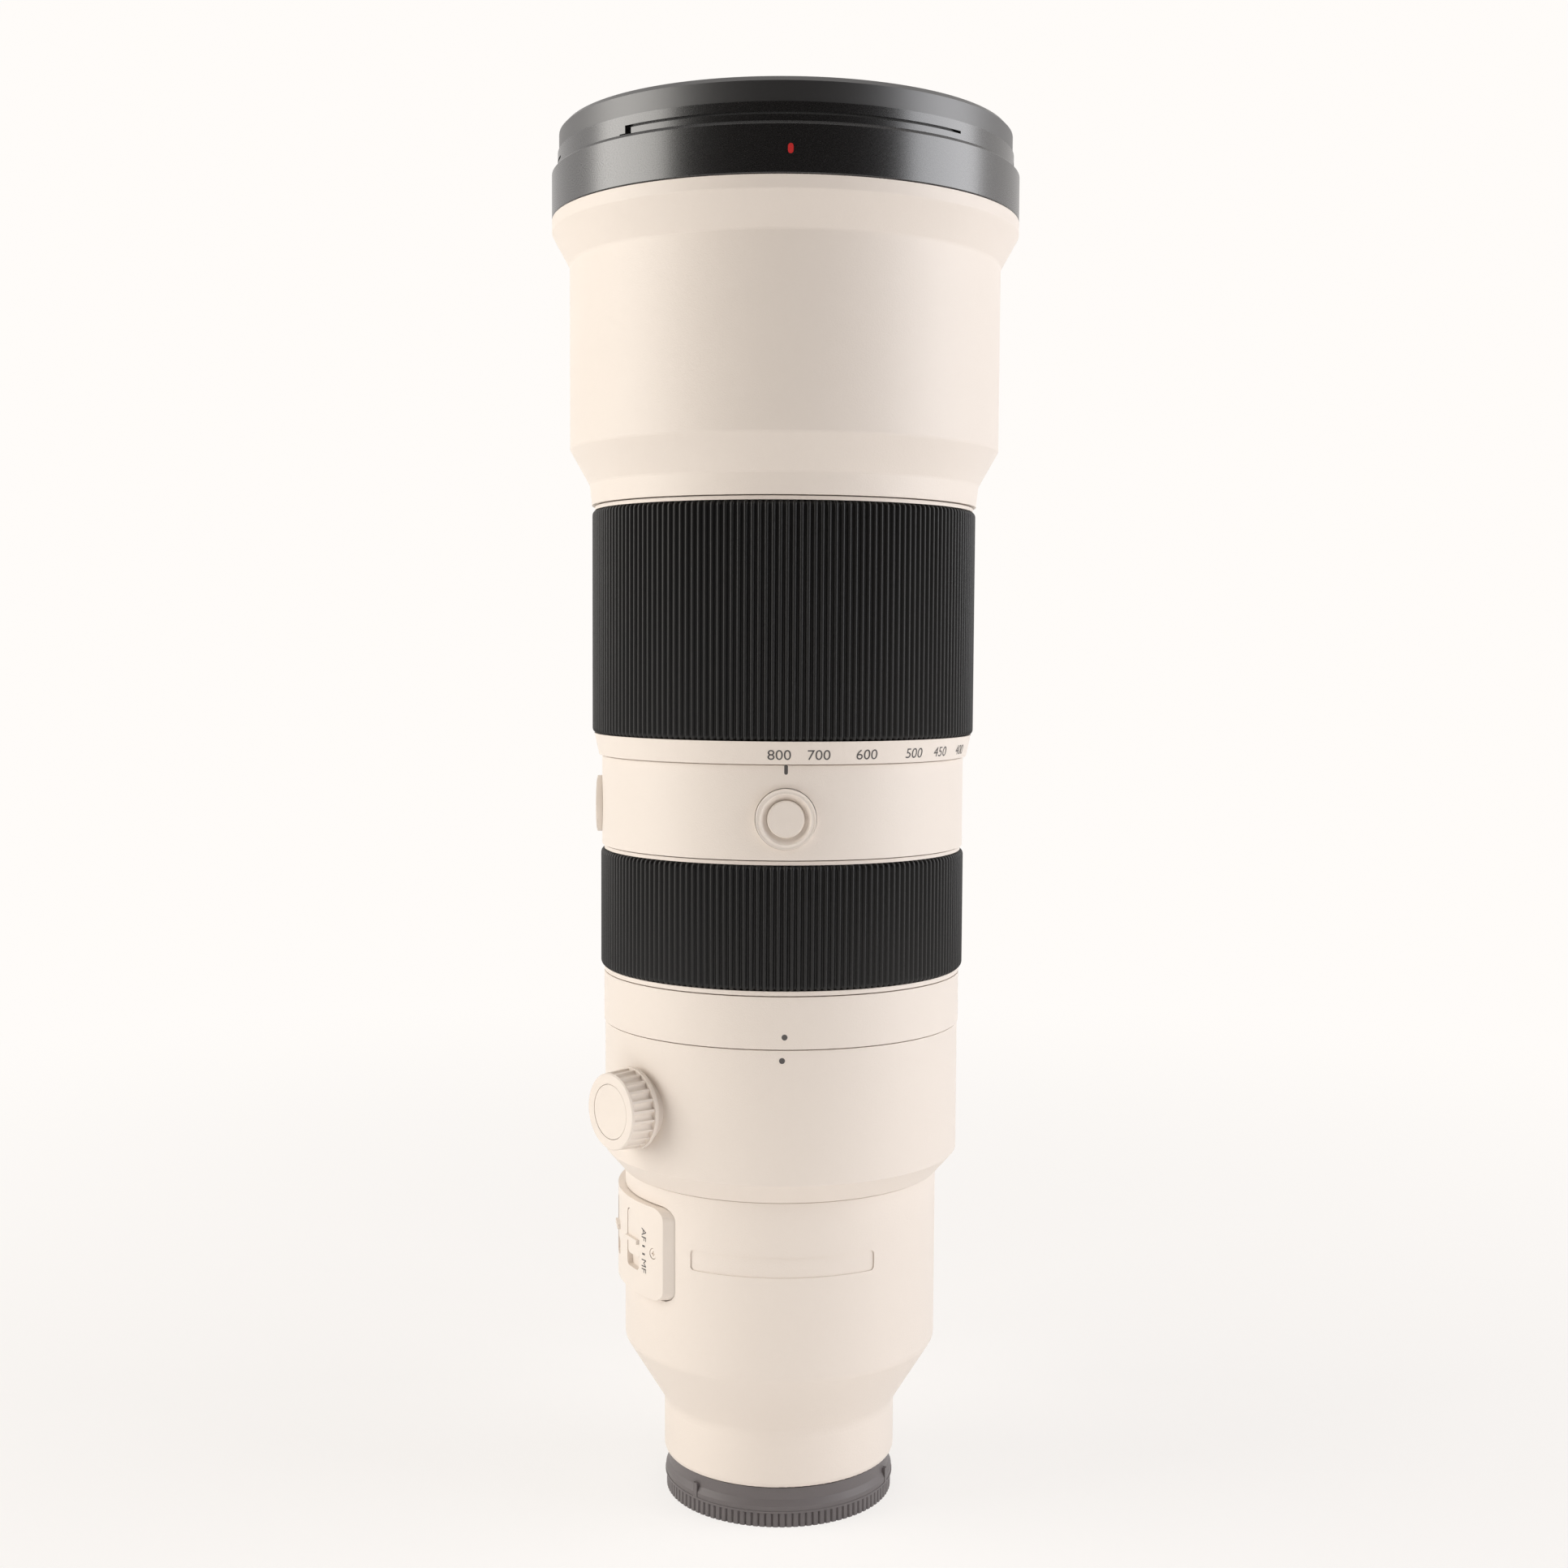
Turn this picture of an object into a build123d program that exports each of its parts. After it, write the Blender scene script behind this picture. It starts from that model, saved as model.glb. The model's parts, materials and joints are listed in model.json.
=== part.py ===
from build123d import *
from math import asin, cos, degrees, radians, sin, sqrt
import os

# A telephoto zoom lens that stands on its rear cap, in millimetres.
# The optical axis is +Z. The origin is the centre of the cap's base, and the front glass is at the top.
# Azimuths are degrees round +Z from the index line, which faces -Y. The tripod foot faces +Y.

# Clearances
seam = 0.3            # open line between a fixed piece and one that turns
running_gap = 0.08    # round a bearing, pin or roller that moves
fit_gap = 0.05        # between two pieces that are fixed to each other
sliding_gap = 0.15    # round a moulded slider
overrun = 2.0         # how far a cutting shape passes the face it cuts

# Lengths of the visible sections, from the cap's base to the front rim
cap_floor_thickness = 1.8
cap_floor_gap = 1.4
bayonet_length = 5.3
neck_length = 16.5
rear_cone_length = 17.0
rear_barrel_length = 45.0
collar_length = 39.5
dot_band_length = 12.8
focus_ring_length = 33.3
mid_barrel_length = 22.9
zoom_ring_length = 64.4
front_barrel_length = 71.9
front_ring_length = 22.7

flange_z = cap_floor_thickness + cap_floor_gap + bayonet_length
cone_foot_z = flange_z + neck_length
cone_top_z = cone_foot_z + rear_cone_length
collar_z = cone_top_z + rear_barrel_length
dot_band_z = collar_z + collar_length
focus_ring_z = dot_band_z + dot_band_length
mid_barrel_z = focus_ring_z + focus_ring_length
zoom_ring_z = mid_barrel_z + mid_barrel_length
front_barrel_z = zoom_ring_z + zoom_ring_length
front_ring_z = front_barrel_z + front_barrel_length
rim_z = front_ring_z + front_ring_length
rear_middle_z = (cone_top_z + collar_z) / 2

# Radii of the mount end, worked out from the bayonet
bayonet_radius = 21.7
mount_face_width = 6.3
neck_step = 2.6
mount_radius = bayonet_radius + mount_face_width
neck_radius = mount_radius + neck_step

# Radii of the barrel and its rings, worked out from the rear barrel
rear_radius = 41.1
collar_thickness = 5.3
dot_band_step = 0.25
focus_rubber_proud = 0.85
mid_step = 0.55
zoom_rubber_proud = 2.5
front_foot_step = 2.6
collar_radius = rear_radius + collar_thickness
dot_band_radius = collar_radius + dot_band_step
focus_rubber_radius = dot_band_radius + focus_rubber_proud
mid_radius = dot_band_radius + mid_step
zoom_rubber_radius = mid_radius + zoom_rubber_proud
front_foot_radius = mid_radius + front_foot_step

# Radii of the front end, worked out from the filter thread
filter_bore_radius = 51.96
filter_ring_wall = 1.99
front_step_wall = 4.4
front_band_step = 1.5
front_flare_depth = 4.5
front_cell_radius = filter_bore_radius + filter_ring_wall + fit_gap
front_step_radius = front_cell_radius + front_step_wall
front_band_radius = front_step_radius + front_band_step
front_barrel_radius = front_band_radius - front_flare_depth

# Fixed tubes that carry the rest
rear_wall = 3.6
collar_seat_depth = 1.1
focus_bearing_depth = 2.25
focus_bearing_wall = 2.0
zoom_bearing_depth = 0.7
zoom_bearing_wall = 2.4
cam_room = 4.92
cam_wall = 2.4
guide_wall = 2.0
rear_bore_radius = rear_radius - rear_wall
collar_bearing_radius = rear_radius - collar_seat_depth
focus_bearing_radius = dot_band_radius - focus_bearing_depth
focus_bearing_bore = focus_bearing_radius - focus_bearing_wall
zoom_bearing_radius = mid_radius - zoom_bearing_depth
zoom_bearing_bore = zoom_bearing_radius - zoom_bearing_wall
cam_radius = focus_bearing_bore - cam_room
cam_bore_radius = cam_radius - cam_wall
guide_radius = cam_bore_radius - running_gap
guide_bore_radius = guide_radius - guide_wall


def ring(inner, outer, bottom, top, mode=Mode.ADD):
    """A plain ring round the optical axis."""
    with BuildSketch(Plane.XY.offset(bottom)) as annulus:
        Circle(outer)
        Circle(inner, mode=Mode.SUBTRACT)
    extrude(annulus.sketch, amount=top - bottom, mode=mode)


def disc(radius, bottom, top, mode=Mode.ADD):
    """A plain disc on the optical axis."""
    with BuildSketch(Plane.XY.offset(bottom)) as circle:
        Circle(radius)
    extrude(circle.sketch, amount=top - bottom, mode=mode)


def turned(*points, mode=Mode.ADD):
    """A closed outline of (radius, height) points, turned round the optical axis."""
    with BuildSketch(Plane.XZ) as outline:
        with BuildLine():
            Polyline(*points, close=True)
        make_face()
    revolve(outline.sketch, axis=Axis.Z, mode=mode)


def outward(azimuth, radius, height):
    """The plane that faces away from the axis at an azimuth, with its own Y up the lens."""
    direction = Vector(0, -1, 0).rotate(Axis.Z, azimuth)
    sideways = Vector(1, 0, 0).rotate(Axis.Z, azimuth)
    return Plane(origin=direction * radius + Vector(0, 0, height), x_dir=sideways, z_dir=direction)


def peg(azimuth, height, radius, start, stop, mode=Mode.ADD):
    """A round peg that points away from the axis, from one distance to another."""
    with BuildSketch(outward(azimuth, start, height)) as circle:
        Circle(radius)
    extrude(circle.sketch, amount=stop - start, mode=mode)


def block(azimuth, height, width, length, start, stop, mode=Mode.ADD):
    """A rectangular block that points away from the axis, its length along the lens."""
    with BuildSketch(outward(azimuth, start, height)) as face:
        Rectangle(width, length)
    extrude(face.sketch, amount=stop - start, mode=mode)


def sector(azimuth, span, inner, outer, bottom, top, mode=Mode.ADD):
    """A piece of a ring, of a given span in degrees."""
    start = azimuth - 90 - span / 2
    with BuildSketch(Plane.XY.offset(bottom)) as face:
        with BuildLine():
            near = CenterArc((0, 0), inner, start, span)
            far = CenterArc((0, 0), outer, start, span)
            Line(near @ 0, far @ 0)
            Line(near @ 1, far @ 1)
        make_face()
    extrude(face.sketch, amount=top - bottom, mode=mode)


def lens_side(radius, height, bulge):
    """One side of a lens in section, flat or curved, drawn inside the sketch that calls it."""
    if bulge == 0:
        return Line((-radius, height), (radius, height))
    return ThreePointArc((-radius, height), (0, height + bulge), (radius, height))


def lens(radius, edge_bottom, edge_top, back_bulge, front_bulge):
    """A round glass element. A positive bulge makes that side convex, a negative one concave."""
    with BuildSketch(Plane.XZ) as outline:
        with BuildLine():
            back = lens_side(radius, edge_bottom, -back_bulge)
            front = lens_side(radius, edge_top, front_bulge)
            Line(back @ 0, front @ 0)
            Line(back @ 1, front @ 1)
        make_face()
        with Locations((-radius, (edge_bottom + edge_top) / 2)):
            Rectangle(2 * radius, 2 * rim_z, mode=Mode.SUBTRACT)
    revolve(outline.sketch, axis=Axis.Z)


def write(piece, name):
    """Label a finished piece and write it to its own file."""
    piece.part.label = name
    export_step(piece.part, f"parts/{name}.step")


os.makedirs("parts", exist_ok=True)

# Rear barrel: the fixed shell from the mount up to the dot band
skirt_rise = 1.9
skirt_step = 2.2
skirt_round = 1.2
neck_bore_step = 0.2
neck_shoulder_thickness = 2.9
neck_shoulder_width = 3.6
unit_ledge_rise = 3.0
unit_ledge_width = 1.5
mount_thickness = 2.5
gasket_thickness = 0.6
skirt_z = flange_z + skirt_rise
skirt_radius = mount_radius + skirt_step
neck_bore_radius = mount_radius + neck_bore_step
neck_shoulder_radius = mount_radius - neck_shoulder_width
unit_ledge_z = cone_top_z + unit_ledge_rise
neck_shoulder_z = flange_z + mount_thickness + gasket_thickness
neck_shoulder_top_z = neck_shoulder_z + neck_shoulder_thickness

# Bare recess for a name plate, on the front of the rear barrel
plate_height = 5.2
plate_rise = 6.3
plate_half_angle = 34.0
plate_depth = 0.3
plate_corner_radius = 1.0
plate_z = rear_middle_z + plate_rise

# Switch panel on the side of the rear barrel
panel_azimuth = -90.0
panel_width = 61.6
panel_height = 23.8
panel_rise = 5.9
panel_corner_radius = 3.0
panel_proud = 1.9
panel_pocket_depth = 1.2
panel_screw_margin = 2.82
panel_screw_head_radius = 1.25
panel_screw_head_height = 0.8
panel_screw_shaft_radius = 0.7
panel_screw_shaft_length = 3.0
panel_screw_slot_width = 0.35
panel_screw_slot_depth = 0.35
panel_z = rear_middle_z + panel_rise
panel_radius = rear_radius + panel_proud
panel_floor_radius = rear_radius - panel_pocket_depth
panel_screw_floor = panel_radius - panel_screw_head_height
panel_screw_angle = degrees(asin((panel_width / 2 - panel_screw_margin) / panel_radius))

# Slide switches in the panel
switch_count = 4
switch_pitch_angle = 19.6
switch_offset_angle = -2.05
switch_slot_width = 7.2
switch_slot_length = 15.0
switch_slot_depth = 1.6
switch_slot_corner_radius = 1.2
switch_travel = 3.0
switch_thickness = 1.15
switch_ridge_width = 1.1
switch_ridge_height = 0.9
switch_ridge_drop = 1.6
switch_stem_width = 1.6
switch_stem_length = 2.4
switch_slot_rise = 1.5
switch_slot_z = panel_z + switch_slot_rise
switch_width = switch_slot_width - 2 * sliding_gap
switch_length = switch_slot_length - switch_travel - 2 * sliding_gap
switch_z = switch_slot_z + switch_travel / 2
switch_floor_radius = panel_radius - switch_slot_depth
switch_stem_end_radius = panel_floor_radius + sliding_gap


def side_plate(width, height, corner, inner, outer, mode=Mode.ADD):
    """A rounded rectangle facing the switch side, cut to a curved face and a curved floor."""
    with BuildSketch(outward(panel_azimuth, inner / 2, panel_z)) as face:
        RectangleRounded(width, height, corner)
    with BuildSketch(Plane.XY.offset(panel_z - height)) as band:
        Circle(outer)
        Circle(inner, mode=Mode.SUBTRACT)
    plate = extrude(face.sketch, amount=outer, mode=Mode.PRIVATE)
    shell = extrude(band.sketch, amount=2 * height, mode=Mode.PRIVATE)
    add(plate & shell, mode=mode)


with BuildPart() as rear_barrel:
    turned(
        (mount_radius + fit_gap, skirt_z),
        (skirt_radius, skirt_z),
        (neck_radius, skirt_z + skirt_round),
        (neck_radius, cone_foot_z),
        (rear_radius, cone_top_z),
        (rear_radius, collar_z),
        (collar_bearing_radius, collar_z),
        (collar_bearing_radius, dot_band_z),
        (rear_bore_radius, dot_band_z),
        (rear_bore_radius, unit_ledge_z),
        (rear_bore_radius - unit_ledge_width, unit_ledge_z),
        (neck_bore_radius, cone_foot_z),
        (neck_bore_radius, neck_shoulder_top_z),
        (neck_shoulder_radius, neck_shoulder_top_z),
        (neck_shoulder_radius, neck_shoulder_z),
        (mount_radius + fit_gap, neck_shoulder_z),
    )
    rear_edges = rear_barrel.edges().filter_by(GeomType.CIRCLE)
    fillet(rear_edges.filter_by(lambda e: abs(e.radius - skirt_radius) < fit_gap), skirt_round / 2)
    skirt_edges = rear_barrel.edges().filter_by(GeomType.CIRCLE).filter_by(
        lambda e: abs(e.radius - neck_radius) < fit_gap
    )
    fillet(skirt_edges.sort_by(Axis.Z)[-1], neck_length / 3)
    cone_edges = rear_barrel.edges().filter_by(GeomType.CIRCLE).filter_by(
        lambda e: abs(e.radius - rear_radius) < fit_gap
    )
    fillet(cone_edges.sort_by(Axis.Z)[0], rear_cone_length / 6)
    side_plate(
        panel_width + 2 * seam, panel_height + 2 * seam, panel_corner_radius + seam,
        panel_floor_radius, rear_radius + overrun, mode=Mode.SUBTRACT,
    )
    with BuildSketch(outward(0, rear_radius / 2, plate_z)) as plate_face:
        RectangleRounded(2 * rear_radius * sin(radians(plate_half_angle)), plate_height, plate_corner_radius)
    with BuildSketch(Plane.XY.offset(plate_z - plate_height)) as plate_band:
        Circle(rear_radius + overrun)
        Circle(rear_radius - plate_depth, mode=Mode.SUBTRACT)
    plate_block = extrude(plate_face.sketch, amount=rear_radius, mode=Mode.PRIVATE)
    plate_shell = extrude(plate_band.sketch, amount=2 * plate_height, mode=Mode.PRIVATE)
    add(plate_block & plate_shell, mode=Mode.SUBTRACT)
    for side in (-1, 1):
        peg(
            panel_azimuth + side * panel_screw_angle, panel_z, panel_screw_shaft_radius + fit_gap,
            panel_floor_radius - panel_screw_shaft_length, panel_radius, mode=Mode.SUBTRACT,
        )
write(rear_barrel, "rear_barrel")

switch_first_angle = switch_offset_angle + (switch_count - 1) / 2 * switch_pitch_angle
switch_angles = [switch_first_angle - n * switch_pitch_angle for n in range(switch_count)]

with BuildPart() as switch_panel:
    side_plate(panel_width, panel_height, panel_corner_radius, panel_floor_radius, panel_radius)
    for angle in switch_angles:
        face = outward(panel_azimuth + angle, switch_floor_radius, switch_slot_z)
        with BuildSketch(face) as slot:
            RectangleRounded(switch_slot_width, switch_slot_length, switch_slot_corner_radius)
        extrude(slot.sketch, amount=switch_slot_depth + overrun, mode=Mode.SUBTRACT)
        stem_room = switch_stem_length + switch_travel + 2 * sliding_gap
        block(
            panel_azimuth + angle, switch_slot_z, switch_stem_width + 2 * sliding_gap, stem_room,
            panel_floor_radius - overrun, panel_radius, mode=Mode.SUBTRACT,
        )
    for side in (-1, 1):
        azimuth = panel_azimuth + side * panel_screw_angle
        peg(
            azimuth, panel_z, panel_screw_shaft_radius + fit_gap,
            panel_floor_radius - overrun, panel_radius, mode=Mode.SUBTRACT,
        )
        peg(
            azimuth, panel_z, panel_screw_head_radius + sliding_gap,
            panel_screw_floor, panel_radius + overrun, mode=Mode.SUBTRACT,
        )
write(switch_panel, "switch_panel")

with BuildPart() as panel_screws:
    for side in (-1, 1):
        azimuth = panel_azimuth + side * panel_screw_angle
        peg(azimuth, panel_z, panel_screw_head_radius, panel_screw_floor, panel_radius - sliding_gap)
        peg(
            azimuth, panel_z, panel_screw_shaft_radius,
            panel_floor_radius - panel_screw_shaft_length + fit_gap, panel_screw_floor,
        )
        for width, length in (
            (panel_screw_head_radius, panel_screw_slot_width),
            (panel_screw_slot_width, panel_screw_head_radius),
        ):
            block(
                azimuth, panel_z, width, length, panel_radius - sliding_gap - panel_screw_slot_depth,
                panel_radius, mode=Mode.SUBTRACT,
            )
write(panel_screws, "panel_screws")

switch_names = ["focus_mode_switch", "full_time_switch", "focus_range_switch", "stabiliser_switch"]
for name, angle in zip(switch_names, switch_angles):
    azimuth = panel_azimuth + angle
    start = switch_floor_radius + sliding_gap
    stop = start + switch_thickness
    with BuildPart() as slide_switch:
        with BuildSketch(outward(azimuth, start, switch_z)) as plate:
            RectangleRounded(switch_width, switch_length, switch_slot_corner_radius)
        extrude(plate.sketch, amount=switch_thickness)
        block(
            azimuth, switch_z - switch_ridge_drop, switch_width, switch_ridge_width,
            stop, stop + switch_ridge_height,
        )
        block(azimuth, switch_z, switch_stem_width, switch_stem_length, switch_stem_end_radius, start)
    write(slide_switch, name)

# Bayonet mount under the rear barrel
bayonet_wall = 1.2
lug_width = 1.3
lug_thickness = 1.6
lug_angle = 56.0
lug_count = 3
mount_screw_count = 4
mount_screw_offset = 3.3
mount_screw_head_radius = 1.6
mount_screw_head_height = 1.1
mount_screw_shaft_radius = 0.9
mount_screw_first_angle = 20.0
throat_radius = bayonet_radius - bayonet_wall
lug_radius = bayonet_radius + lug_width
bayonet_end_z = flange_z - bayonet_length
mount_screw_circle_radius = bayonet_radius + mount_screw_offset
mount_screw_seat_z = flange_z + mount_screw_head_height + seam

with BuildPart() as lens_mount:
    ring(throat_radius, mount_radius, flange_z, flange_z + mount_thickness)
    ring(throat_radius, bayonet_radius, bayonet_end_z, flange_z)
    for n in range(lug_count):
        sector(
            360 * n / lug_count, lug_angle, bayonet_radius - bayonet_wall / 2, lug_radius,
            bayonet_end_z, bayonet_end_z + lug_thickness,
        )
    with PolarLocations(mount_screw_circle_radius, mount_screw_count, mount_screw_first_angle):
        with Locations((0, 0, flange_z + mount_thickness / 2)):
            Cylinder(
                mount_screw_shaft_radius + fit_gap, mount_thickness + overrun, mode=Mode.SUBTRACT
            )
        with Locations((0, 0, mount_screw_seat_z)):
            Cylinder(
                mount_screw_head_radius + sliding_gap, mount_screw_seat_z - flange_z + overrun,
                align=(Align.CENTER, Align.CENTER, Align.MAX), mode=Mode.SUBTRACT,
            )
write(lens_mount, "lens_mount")

with BuildPart() as mount_gasket:
    ring(neck_shoulder_radius + seam, mount_radius, flange_z + mount_thickness, neck_shoulder_z)
    with PolarLocations(mount_screw_circle_radius, mount_screw_count, mount_screw_first_angle):
        with Locations((0, 0, flange_z + mount_thickness)):
            Cylinder(mount_screw_shaft_radius + fit_gap, 2 * overrun, mode=Mode.SUBTRACT)
write(mount_gasket, "mount_gasket")

with BuildPart() as mount_screws:
    with PolarLocations(mount_screw_circle_radius, mount_screw_count, mount_screw_first_angle):
        with Locations((0, 0, flange_z + seam)):
            Cylinder(
                mount_screw_head_radius, mount_screw_head_height,
                align=(Align.CENTER, Align.CENTER, Align.MIN),
            )
        with Locations((0, 0, mount_screw_seat_z)):
            Cylinder(
                mount_screw_shaft_radius, neck_shoulder_z - mount_screw_seat_z,
                align=(Align.CENTER, Align.CENTER, Align.MIN),
            )
write(mount_screws, "mount_screws")

# Contacts and light baffle inside the bayonet
contact_count = 10
contact_angle = 76.0
contact_block_angle = 88.0
contact_block_depth = 3.2
contact_block_inset = 0.6
contact_radius = 0.6
contact_height = 0.35
baffle_thickness = 1.2
baffle_window_width = 25.0
baffle_window_height = 20.0
baffle_window_corner_radius = 3.0
contact_block_outer = throat_radius - fit_gap
contact_block_inner = contact_block_outer - contact_block_depth
contact_block_z = bayonet_end_z + contact_block_inset
contact_azimuth = 180.0
contact_circle_radius = (contact_block_inner + contact_block_outer) / 2

with BuildPart() as contact_block:
    sector(
        contact_azimuth, contact_block_angle, contact_block_inner, contact_block_outer,
        contact_block_z, flange_z,
    )
write(contact_block, "contact_block")

with BuildPart() as contact_pins:
    for n in range(contact_count):
        azimuth = radians(contact_azimuth + contact_angle * (n / (contact_count - 1) - 0.5))
        spot = (contact_circle_radius * sin(azimuth), -contact_circle_radius * cos(azimuth))
        with BuildSketch(Plane.XY.offset(contact_block_z - contact_height)) as pin:
            with Locations(spot):
                Circle(contact_radius)
        extrude(pin.sketch, amount=contact_height)
write(contact_pins, "contact_pins")

with BuildPart() as rear_baffle:
    disc(throat_radius - fit_gap, flange_z, flange_z + baffle_thickness)
    with BuildSketch(Plane.XY.offset(flange_z)) as window:
        RectangleRounded(baffle_window_width, baffle_window_height, baffle_window_corner_radius)
    extrude(window.sketch, amount=baffle_thickness, mode=Mode.SUBTRACT)
write(rear_baffle, "rear_baffle")

# Rear lens cell, on the shoulder inside the neck
rear_cell_step = 1.5
rear_cell_wall = 2.0
rear_cell_flange_thickness = 2.0
rear_cell_length = 20.0
rear_cell_ledge_width = 1.5
rear_cell_radius = throat_radius + rear_cell_step
rear_cell_ledge_z = neck_shoulder_top_z + rear_cell_flange_thickness
rear_glass_edge = 5.0
rear_glass_back_bulge = -1.6
rear_glass_front_bulge = 2.6
rear_cell_bore = rear_cell_radius - rear_cell_wall
rear_cell_ledge_bore = rear_cell_bore - rear_cell_ledge_width

with BuildPart() as rear_cell:
    ring(rear_cell_ledge_bore, neck_bore_radius - fit_gap, neck_shoulder_top_z, rear_cell_ledge_z)
    ring(rear_cell_bore, rear_cell_radius, rear_cell_ledge_z, neck_shoulder_top_z + rear_cell_length)
write(rear_cell, "rear_cell")

with BuildPart() as rear_element:
    lens(
        rear_cell_bore - fit_gap, rear_cell_ledge_z, rear_cell_ledge_z + rear_glass_edge,
        rear_glass_back_bulge, rear_glass_front_bulge,
    )
write(rear_element, "rear_element")

# Main circuit board, on the ledge inside the rear barrel
board_thickness = 1.6
board_width = 11.45
board_notch_width = 8.0
board_chip_count = 5
board_chip_size = 6.0
board_chip_height = 1.2
board_top_z = unit_ledge_z + board_thickness
board_outer_radius = rear_bore_radius - fit_gap
board_bore_radius = board_outer_radius - board_width

with BuildPart() as circuit_board:
    ring(board_bore_radius, board_outer_radius, unit_ledge_z, board_top_z)
    block(
        0, unit_ledge_z, board_notch_width, 2 * overrun + 2 * board_thickness,
        board_bore_radius - overrun, rear_bore_radius + overrun, mode=Mode.SUBTRACT,
    )
    with BuildSketch(Plane.XY.offset(board_top_z)) as chips:
        middle = (board_bore_radius + board_outer_radius) / 2
        with PolarLocations(middle, board_chip_count, 180 / board_chip_count - 90):
            Rectangle(board_chip_size, board_chip_size)
    extrude(chips.sketch, amount=board_chip_height)
write(circuit_board, "circuit_board")

# Image stabiliser: a fixed base, a guide frame that shifts sideways and a lens carrier that shifts on it
stabiliser_base_rise = 6.0
stabiliser_base_thickness = 3.0
stabiliser_base_width = 20.95
shift_rail_inset = 6.0
shift_rail_width = 3.0
shift_rail_length = 20.0
shift_rail_height = 2.5
shift_frame_thickness = 3.5
shift_frame_width = 13.0
shift_frame_room = 5.45
lens_carrier_thickness = 6.0
lens_carrier_inset = 1.0
lens_carrier_ledge_thickness = 1.2
lens_carrier_ledge_width = 1.2
lens_carrier_width = 15.0
stabiliser_glass_bulge = 0.8
unit_radius = rear_bore_radius - fit_gap
stabiliser_opening_radius = unit_radius - stabiliser_base_width
shift_frame_radius = unit_radius - shift_frame_room
shift_frame_bore_radius = shift_frame_radius - shift_frame_width
shift_rail_offset = shift_frame_radius - shift_rail_inset
lens_carrier_radius = shift_frame_radius - lens_carrier_inset
stabiliser_glass_radius = lens_carrier_radius - lens_carrier_width
stabiliser_base_z = unit_ledge_z + stabiliser_base_rise
shift_frame_z = stabiliser_base_z + stabiliser_base_thickness + seam
lens_carrier_z = shift_frame_z + shift_frame_thickness + seam
lens_carrier_top_z = lens_carrier_z + lens_carrier_thickness


def rails(bottom, direction, mode=Mode.ADD, gap=0.0, length=shift_rail_length):
    """Two straight rails, or the grooves that ride on them, along X or along Y."""
    with BuildSketch(Plane.XY.offset(bottom)) as pair:
        for side in (-1, 1):
            spot = side * shift_rail_offset
            width = shift_rail_width + 2 * gap
            if direction == "x":
                with Locations((0, spot)):
                    Rectangle(length, width)
            else:
                with Locations((spot, 0)):
                    Rectangle(width, length)
    extrude(pair.sketch, amount=shift_rail_height + gap, mode=mode)


with BuildPart() as stabiliser_base:
    ring(stabiliser_opening_radius, unit_radius, stabiliser_base_z, shift_frame_z - seam)
    rails(shift_frame_z - seam, "x")
write(stabiliser_base, "stabiliser_base")

with BuildPart() as shift_frame:
    ring(shift_frame_bore_radius, shift_frame_radius, shift_frame_z, lens_carrier_z - seam)
    rails(shift_frame_z - seam, "x", mode=Mode.SUBTRACT, gap=running_gap, length=2 * rear_radius)
    rails(lens_carrier_z - seam, "y")
write(shift_frame, "shift_frame")

with BuildPart() as lens_carrier:
    ring(stabiliser_glass_radius + fit_gap, lens_carrier_radius, lens_carrier_z, lens_carrier_top_z)
    ring(
        stabiliser_glass_radius - lens_carrier_ledge_width, stabiliser_glass_radius + fit_gap,
        lens_carrier_z, lens_carrier_z + lens_carrier_ledge_thickness,
    )
    rails(lens_carrier_z - seam, "y", mode=Mode.SUBTRACT, gap=running_gap, length=2 * rear_radius)
write(lens_carrier, "lens_carrier")

with BuildPart() as stabiliser_element:
    lens(
        stabiliser_glass_radius, lens_carrier_z + lens_carrier_ledge_thickness,
        lens_carrier_top_z - stabiliser_glass_bulge, 0, stabiliser_glass_bulge,
    )
write(stabiliser_element, "stabiliser_element")

# Iris unit under the dot band
iris_drop = 13.5
iris_thickness = 8.0
iris_width = 20.45
iris_pocket_floor = 2.0
iris_blade_count = 11
iris_blade_inset = 0.6
iris_blade_width = 7.4
iris_blade_angle = 62.0
iris_blade_thickness = 0.16
iris_blade_pitch = 0.26
iris_opening_radius = unit_radius - iris_width
iris_blade_inner_radius = iris_opening_radius + iris_blade_inset
iris_blade_outer_radius = iris_blade_inner_radius + iris_blade_width
iris_z = dot_band_z - iris_drop
iris_pocket_z = iris_z + iris_pocket_floor
iris_pocket_height = iris_blade_count * iris_blade_pitch + seam

with BuildPart() as iris_housing:
    ring(iris_opening_radius, unit_radius, iris_z, iris_z + iris_thickness)
    ring(
        iris_opening_radius + fit_gap * 2, iris_blade_outer_radius + seam,
        iris_pocket_z, iris_pocket_z + iris_pocket_height, mode=Mode.SUBTRACT,
    )
write(iris_housing, "iris_housing")

with BuildPart() as iris_blades:
    for n in range(iris_blade_count):
        bottom = iris_pocket_z + fit_gap + n * iris_blade_pitch
        sector(
            360 * n / iris_blade_count, iris_blade_angle, iris_blade_inner_radius,
            iris_blade_outer_radius, bottom, bottom + iris_blade_thickness,
        )
write(iris_blades, "iris_blades")

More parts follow.
